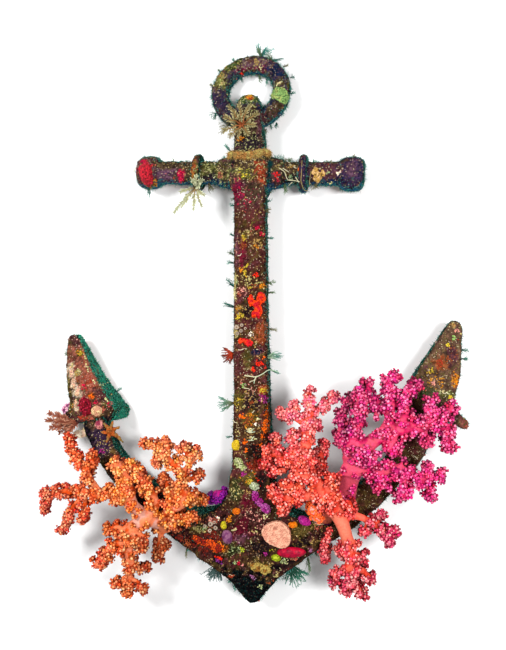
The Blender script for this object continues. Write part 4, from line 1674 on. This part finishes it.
TWIGS = {
    # solid: radius, colour at each end, then each twig as the places it runs through
    "stock": (0.8, "#b8b08c", "#ccc8a8", (
        ((55, 678), (64, 671), (69, 659), (80, 657)), ((61, 678), (72, 671)), ((72, 659), (91, 651)),
        ((77, 655), (69, 651)), ((84, 660), (90, 650)),
    )),
    "right_collar": (0.9, "#6c5c38", "#948458", (
        ((96, 688), (95, 663), (94, 650), (99, 639), (104, 641)), ((111, 671), (108, 657), (108, 647)),
    )),
    "shank_and_arms": (1.0, "#d0c8a0", "#a8c0a4", (
        ((-7, 311), (2, 310), (14, 309), (25, 314), (37, 321), (54, 317)), ((14, 309), (11, 303), (10, 297)),
        ((3, 212), (2, 219)), ((3, 212), (-3, 215)), ((3, 212), (9, 219)), ((3, 212), (12, 214)),
        ((5, 199), (0, 199)), ((5, 199), (10, 206)), ((5, 199), (10, 199)),
    )),
}
TUFT_COLOURS = (
    # root, tips
    ("#1c3c34", "#4c8c78"), ("#2c3828", "#6c8460"), ("#18302c", "#347464"), ("#3c3424", "#7c7c58"),
)
TWIG_STEP = 3.0
TWIG_TAPER = (1.0, 0.6)
LOOK_AROUND = 4  # how near a place has to be to tell the height, in mm
LOWEST_TOP = 30  # anything lower isn't the front of the iron


def top_at(x, y):
    """The height of the iron's crust at a place on the front, or 0 beside the iron."""
    near = (spots[np.hypot(spots[:, 0] - x, spots[:, 1] - y) < LOOK_AROUND, 2] for spots, _ in dense.values())
    return max(heights.max(initial=0) for heights in near)


for seed, (node, (height, tufts)) in enumerate(EDGE_TUFTS.items(), 170):
    made = []
    for root, *tips in tufts:
        dice = np.random.default_rng(seed + len(made))
        heights = height + dice.uniform(-8, 8, len(tips))
        inside = root - (np.mean(tips, axis=0) - root) * 0.3
        foot, tip = TUFT_COLOURS[dice.integers(0, len(TUFT_COLOURS))]
        ends = [(*place, level) for place, level in zip(tips, heights)]
        made.append(plume(f"{node} tuft", (*inside, height), ends, 4 + 3 * len(tips), 0.55, 1.5,
                          foot, tip, seed + len(made), branches=2))
    grown_on(join(f"{node}_edge_tufts", made))
for node, (radius, foot, tip, routes) in TWIGS.items():
    made = []
    for route in routes:
        points = []
        for x, y in route:
            level = top_at(x, y) + 0.6 * radius
            points.append(Vector((x, y, level if level > LOWEST_TOP else points[-1].z)))
        line = along_route(points, TWIG_STEP)
        radii = radius * np.linspace(*TWIG_TAPER, len(line))
        made.append(strands(f"{node} twig", [(line, radii)], foot, tip, sides=1))
    grown_on(join(f"{node}_twigs", made))

# %% [markdown]
# ### A fringe of hairs
#
# Every edge of the anchor is blurred by a short blue-green turf. Strands like a plume's would take too
# many faces for it. So a hair is a three-sided spike, stamped thousands of times on the side faces, where
# the light is poor and algae win over sponges.

# %% Model one hair and plant the fringe
HAIR_LEAN = 2.0  # of its own radius
bpy.ops.object.select_all(action="DESELECT")
bpy.ops.mesh.primitive_cone_add(vertices=3, radius1=MM, radius2=0, depth=MM, location=(0, 0, 0.5 * MM))
hair = bpy.context.object
apply_all(hair)
points = places(hair.data)
points[:, 0] += points[:, 2] * HAIR_LEAN
move_to(hair.data, points)
print("hair:", len(hair.data.polygons), "faces")


def plant_hairs(node, density, length, radius, seed, weigh, foot, tip):
    """Hairs on one piece, in number by its area. Most are short, and they droop towards the crown."""
    obj = {**iron, **lumps}[node]
    dice = np.random.default_rng(seed)
    count = round(square_cm(obj) * density)
    centres, ways = spots_on(obj, count, dice, weigh)
    ways = ways + dice.normal(0, 0.45, ways.shape) + (0, -0.15, 0.25)
    long = length[0] + (length[1] - length[0]) * dice.random(count) ** 2.5
    thick = dice.uniform(*radius, count)
    shade = dice.uniform(0.5, 1.5, (count, 1))
    made = stamp(f"{node}_fringe_{seed}", hair, centres, turned_to(ways, dice.uniform(0, 6, count)),
                 np.c_[thick, thick, long], rgb(foot) * shade, rgb(foot) * shade, rgb(tip) * shade)
    made.data.materials.append(fibrous)
    grown_on(made)


def on_sides(points, facing):
    """Likely on the sides, and there in tufts."""
    in_tufts = step_between(0.02, 0.14, soft_noise(points, 7, 14))
    return (0.02 + (np.abs(facing[:, 2]) < 0.6)) * (0.15 + in_tufts)


# hairs for each square centimetre
FRINGE_DENSITY = {
    "shank_and_arms": 2.2, "left_fluke": 2.2, "right_fluke": 2.2, "stock": 4.5, "left_collar": 5.0,
    "right_collar": 5.0, "ring": 7.0,
}
for seed, node in enumerate(iron, 130):
    plant_hairs(node, FRINGE_DENSITY[node], (2.0, 8.0), (0.3, 0.6), seed, on_sides, "#164c44", "#5cb4a4")
plant_hairs("left_fluke", 4.0, (2.0, 5.0), (0.4, 0.8), 140,
            lambda points, facing: facing[:, 0] > 0.5, "#127052", "#48c4a0")
plant_hairs("boss_growth_band", 26.0, (3.0, 8.0), (0.4, 0.8), 141,
            lambda points, facing: 0.4 + (facing[:, 1] < 0), "#8c5c28", "#d8b870")
bpy.data.objects.remove(hair)

# %% [markdown]
# ### Worm tubes
#
# White squiggles on the crust are the limy tubes of worms. Painted on, they would have no shade beside
# them. So each is a thin strand that wanders over the surface from a random start.

# %% Lay the worm tubes
WORMS = (("shank_and_arms", 22), ("stock", 7), ("right_fluke", 4))
WORM_STEP = 2.2
WORM_RADII = (0.5, 0.9)


def lay_worms(node, count, seed):
    """Worm tubes on the front of one iron piece."""
    dice = np.random.default_rng(seed)
    starts, ways = spots_on(iron[node], count, dice, lambda points, facing: facing[:, 2] > 0.7)
    lines = []
    for start, way in zip(starts, ways):
        ahead = np.cross(way, dice.normal(0, 1, 3))
        ahead /= np.linalg.norm(ahead)
        line = [start + way * 0.6]
        for _ in range(dice.integers(3, 7)):
            ahead = ahead + np.cross(way, ahead) * dice.normal(0, 0.7)
            ahead /= np.linalg.norm(ahead)
            line.append(line[-1] + ahead * WORM_STEP)
        lines.append((line, np.linspace(*WORM_RADII, len(line))))
    made = strands(node + "_worm_tubes", lines, "#c8bc98", "#d8ccb0")
    grown_on(made)


for seed, (node, count) in enumerate(WORMS, 150):
    lay_worms(node, count, seed)

# %% [markdown]
# ## Floor, light and camera
#
# The anchor lies on its back, so the camera hangs above it and looks almost straight down, a little
# from its right. Two broad soft lights stand on either side of the camera, as a diver's lamps would,
# and a bright sky fills the rest, so that hollows stay readable.

# %% Stage the anchor
AIM = Vector((3.2, 401.4, 34.0)) * MM
EYE = Vector((203.2, 329.4, 1186.2)) * MM
LENS = 36.05  # in mm, for a sensor 36 mm wide
LAMP_SIZE = 0.6
LAMP_POWER = 31
SKY_STRENGTH = 0.42
bpy.ops.object.select_all(action="DESELECT")
bpy.ops.mesh.primitive_plane_add(size=12, location=(0, 0.4, 0))
floor = bpy.context.object
floor.name = "floor"
floor_paint, _, shader = new_finish("pale floor", 0.9, 0.0)
shader.inputs["Base Color"].default_value = (0.9, 0.9, 0.9, 1)
floor.data.materials.append(floor_paint)


def look(place, aim, up=Vector((0, 1, 0))):
    """The place and turn of a camera or lamp that looks at a point."""
    back = (place - aim).normalized()
    right = up.cross(back).normalized()
    return Matrix.Translation(place) @ Matrix((right, back.cross(right), back)).transposed().to_4x4()


def add_lamp(name, place):
    """A round soft lamp that looks at the anchor's middle."""
    lamp = bpy.data.lights.new(name, "AREA")
    lamp.shape = "DISK"
    lamp.size = LAMP_SIZE
    lamp.energy = LAMP_POWER
    new_object(name, lamp).matrix_world = look(Vector(place), AIM)


add_lamp("left lamp", (-0.9, 0.9, 1.5))
add_lamp("right lamp", (1.0, 0.3, 1.6))
sky = bpy.data.worlds.new("sky")
sky.use_nodes = True
sky.node_tree.nodes["Background"].inputs["Color"].default_value = (1, 1, 1, 1)
sky.node_tree.nodes["Background"].inputs["Strength"].default_value = SKY_STRENGTH
bpy.context.scene.world = sky
bpy.context.scene.view_settings.view_transform = "Standard"

camera = bpy.data.cameras.new("camera")
camera.sensor_width = 36
camera.lens = LENS
view = new_object("camera", camera)
view.matrix_world = look(EYE, AIM)
bpy.context.scene.camera = view
print("camera at", [round(v, 3) for v in EYE], "looks at", [round(v, 3) for v in AIM])
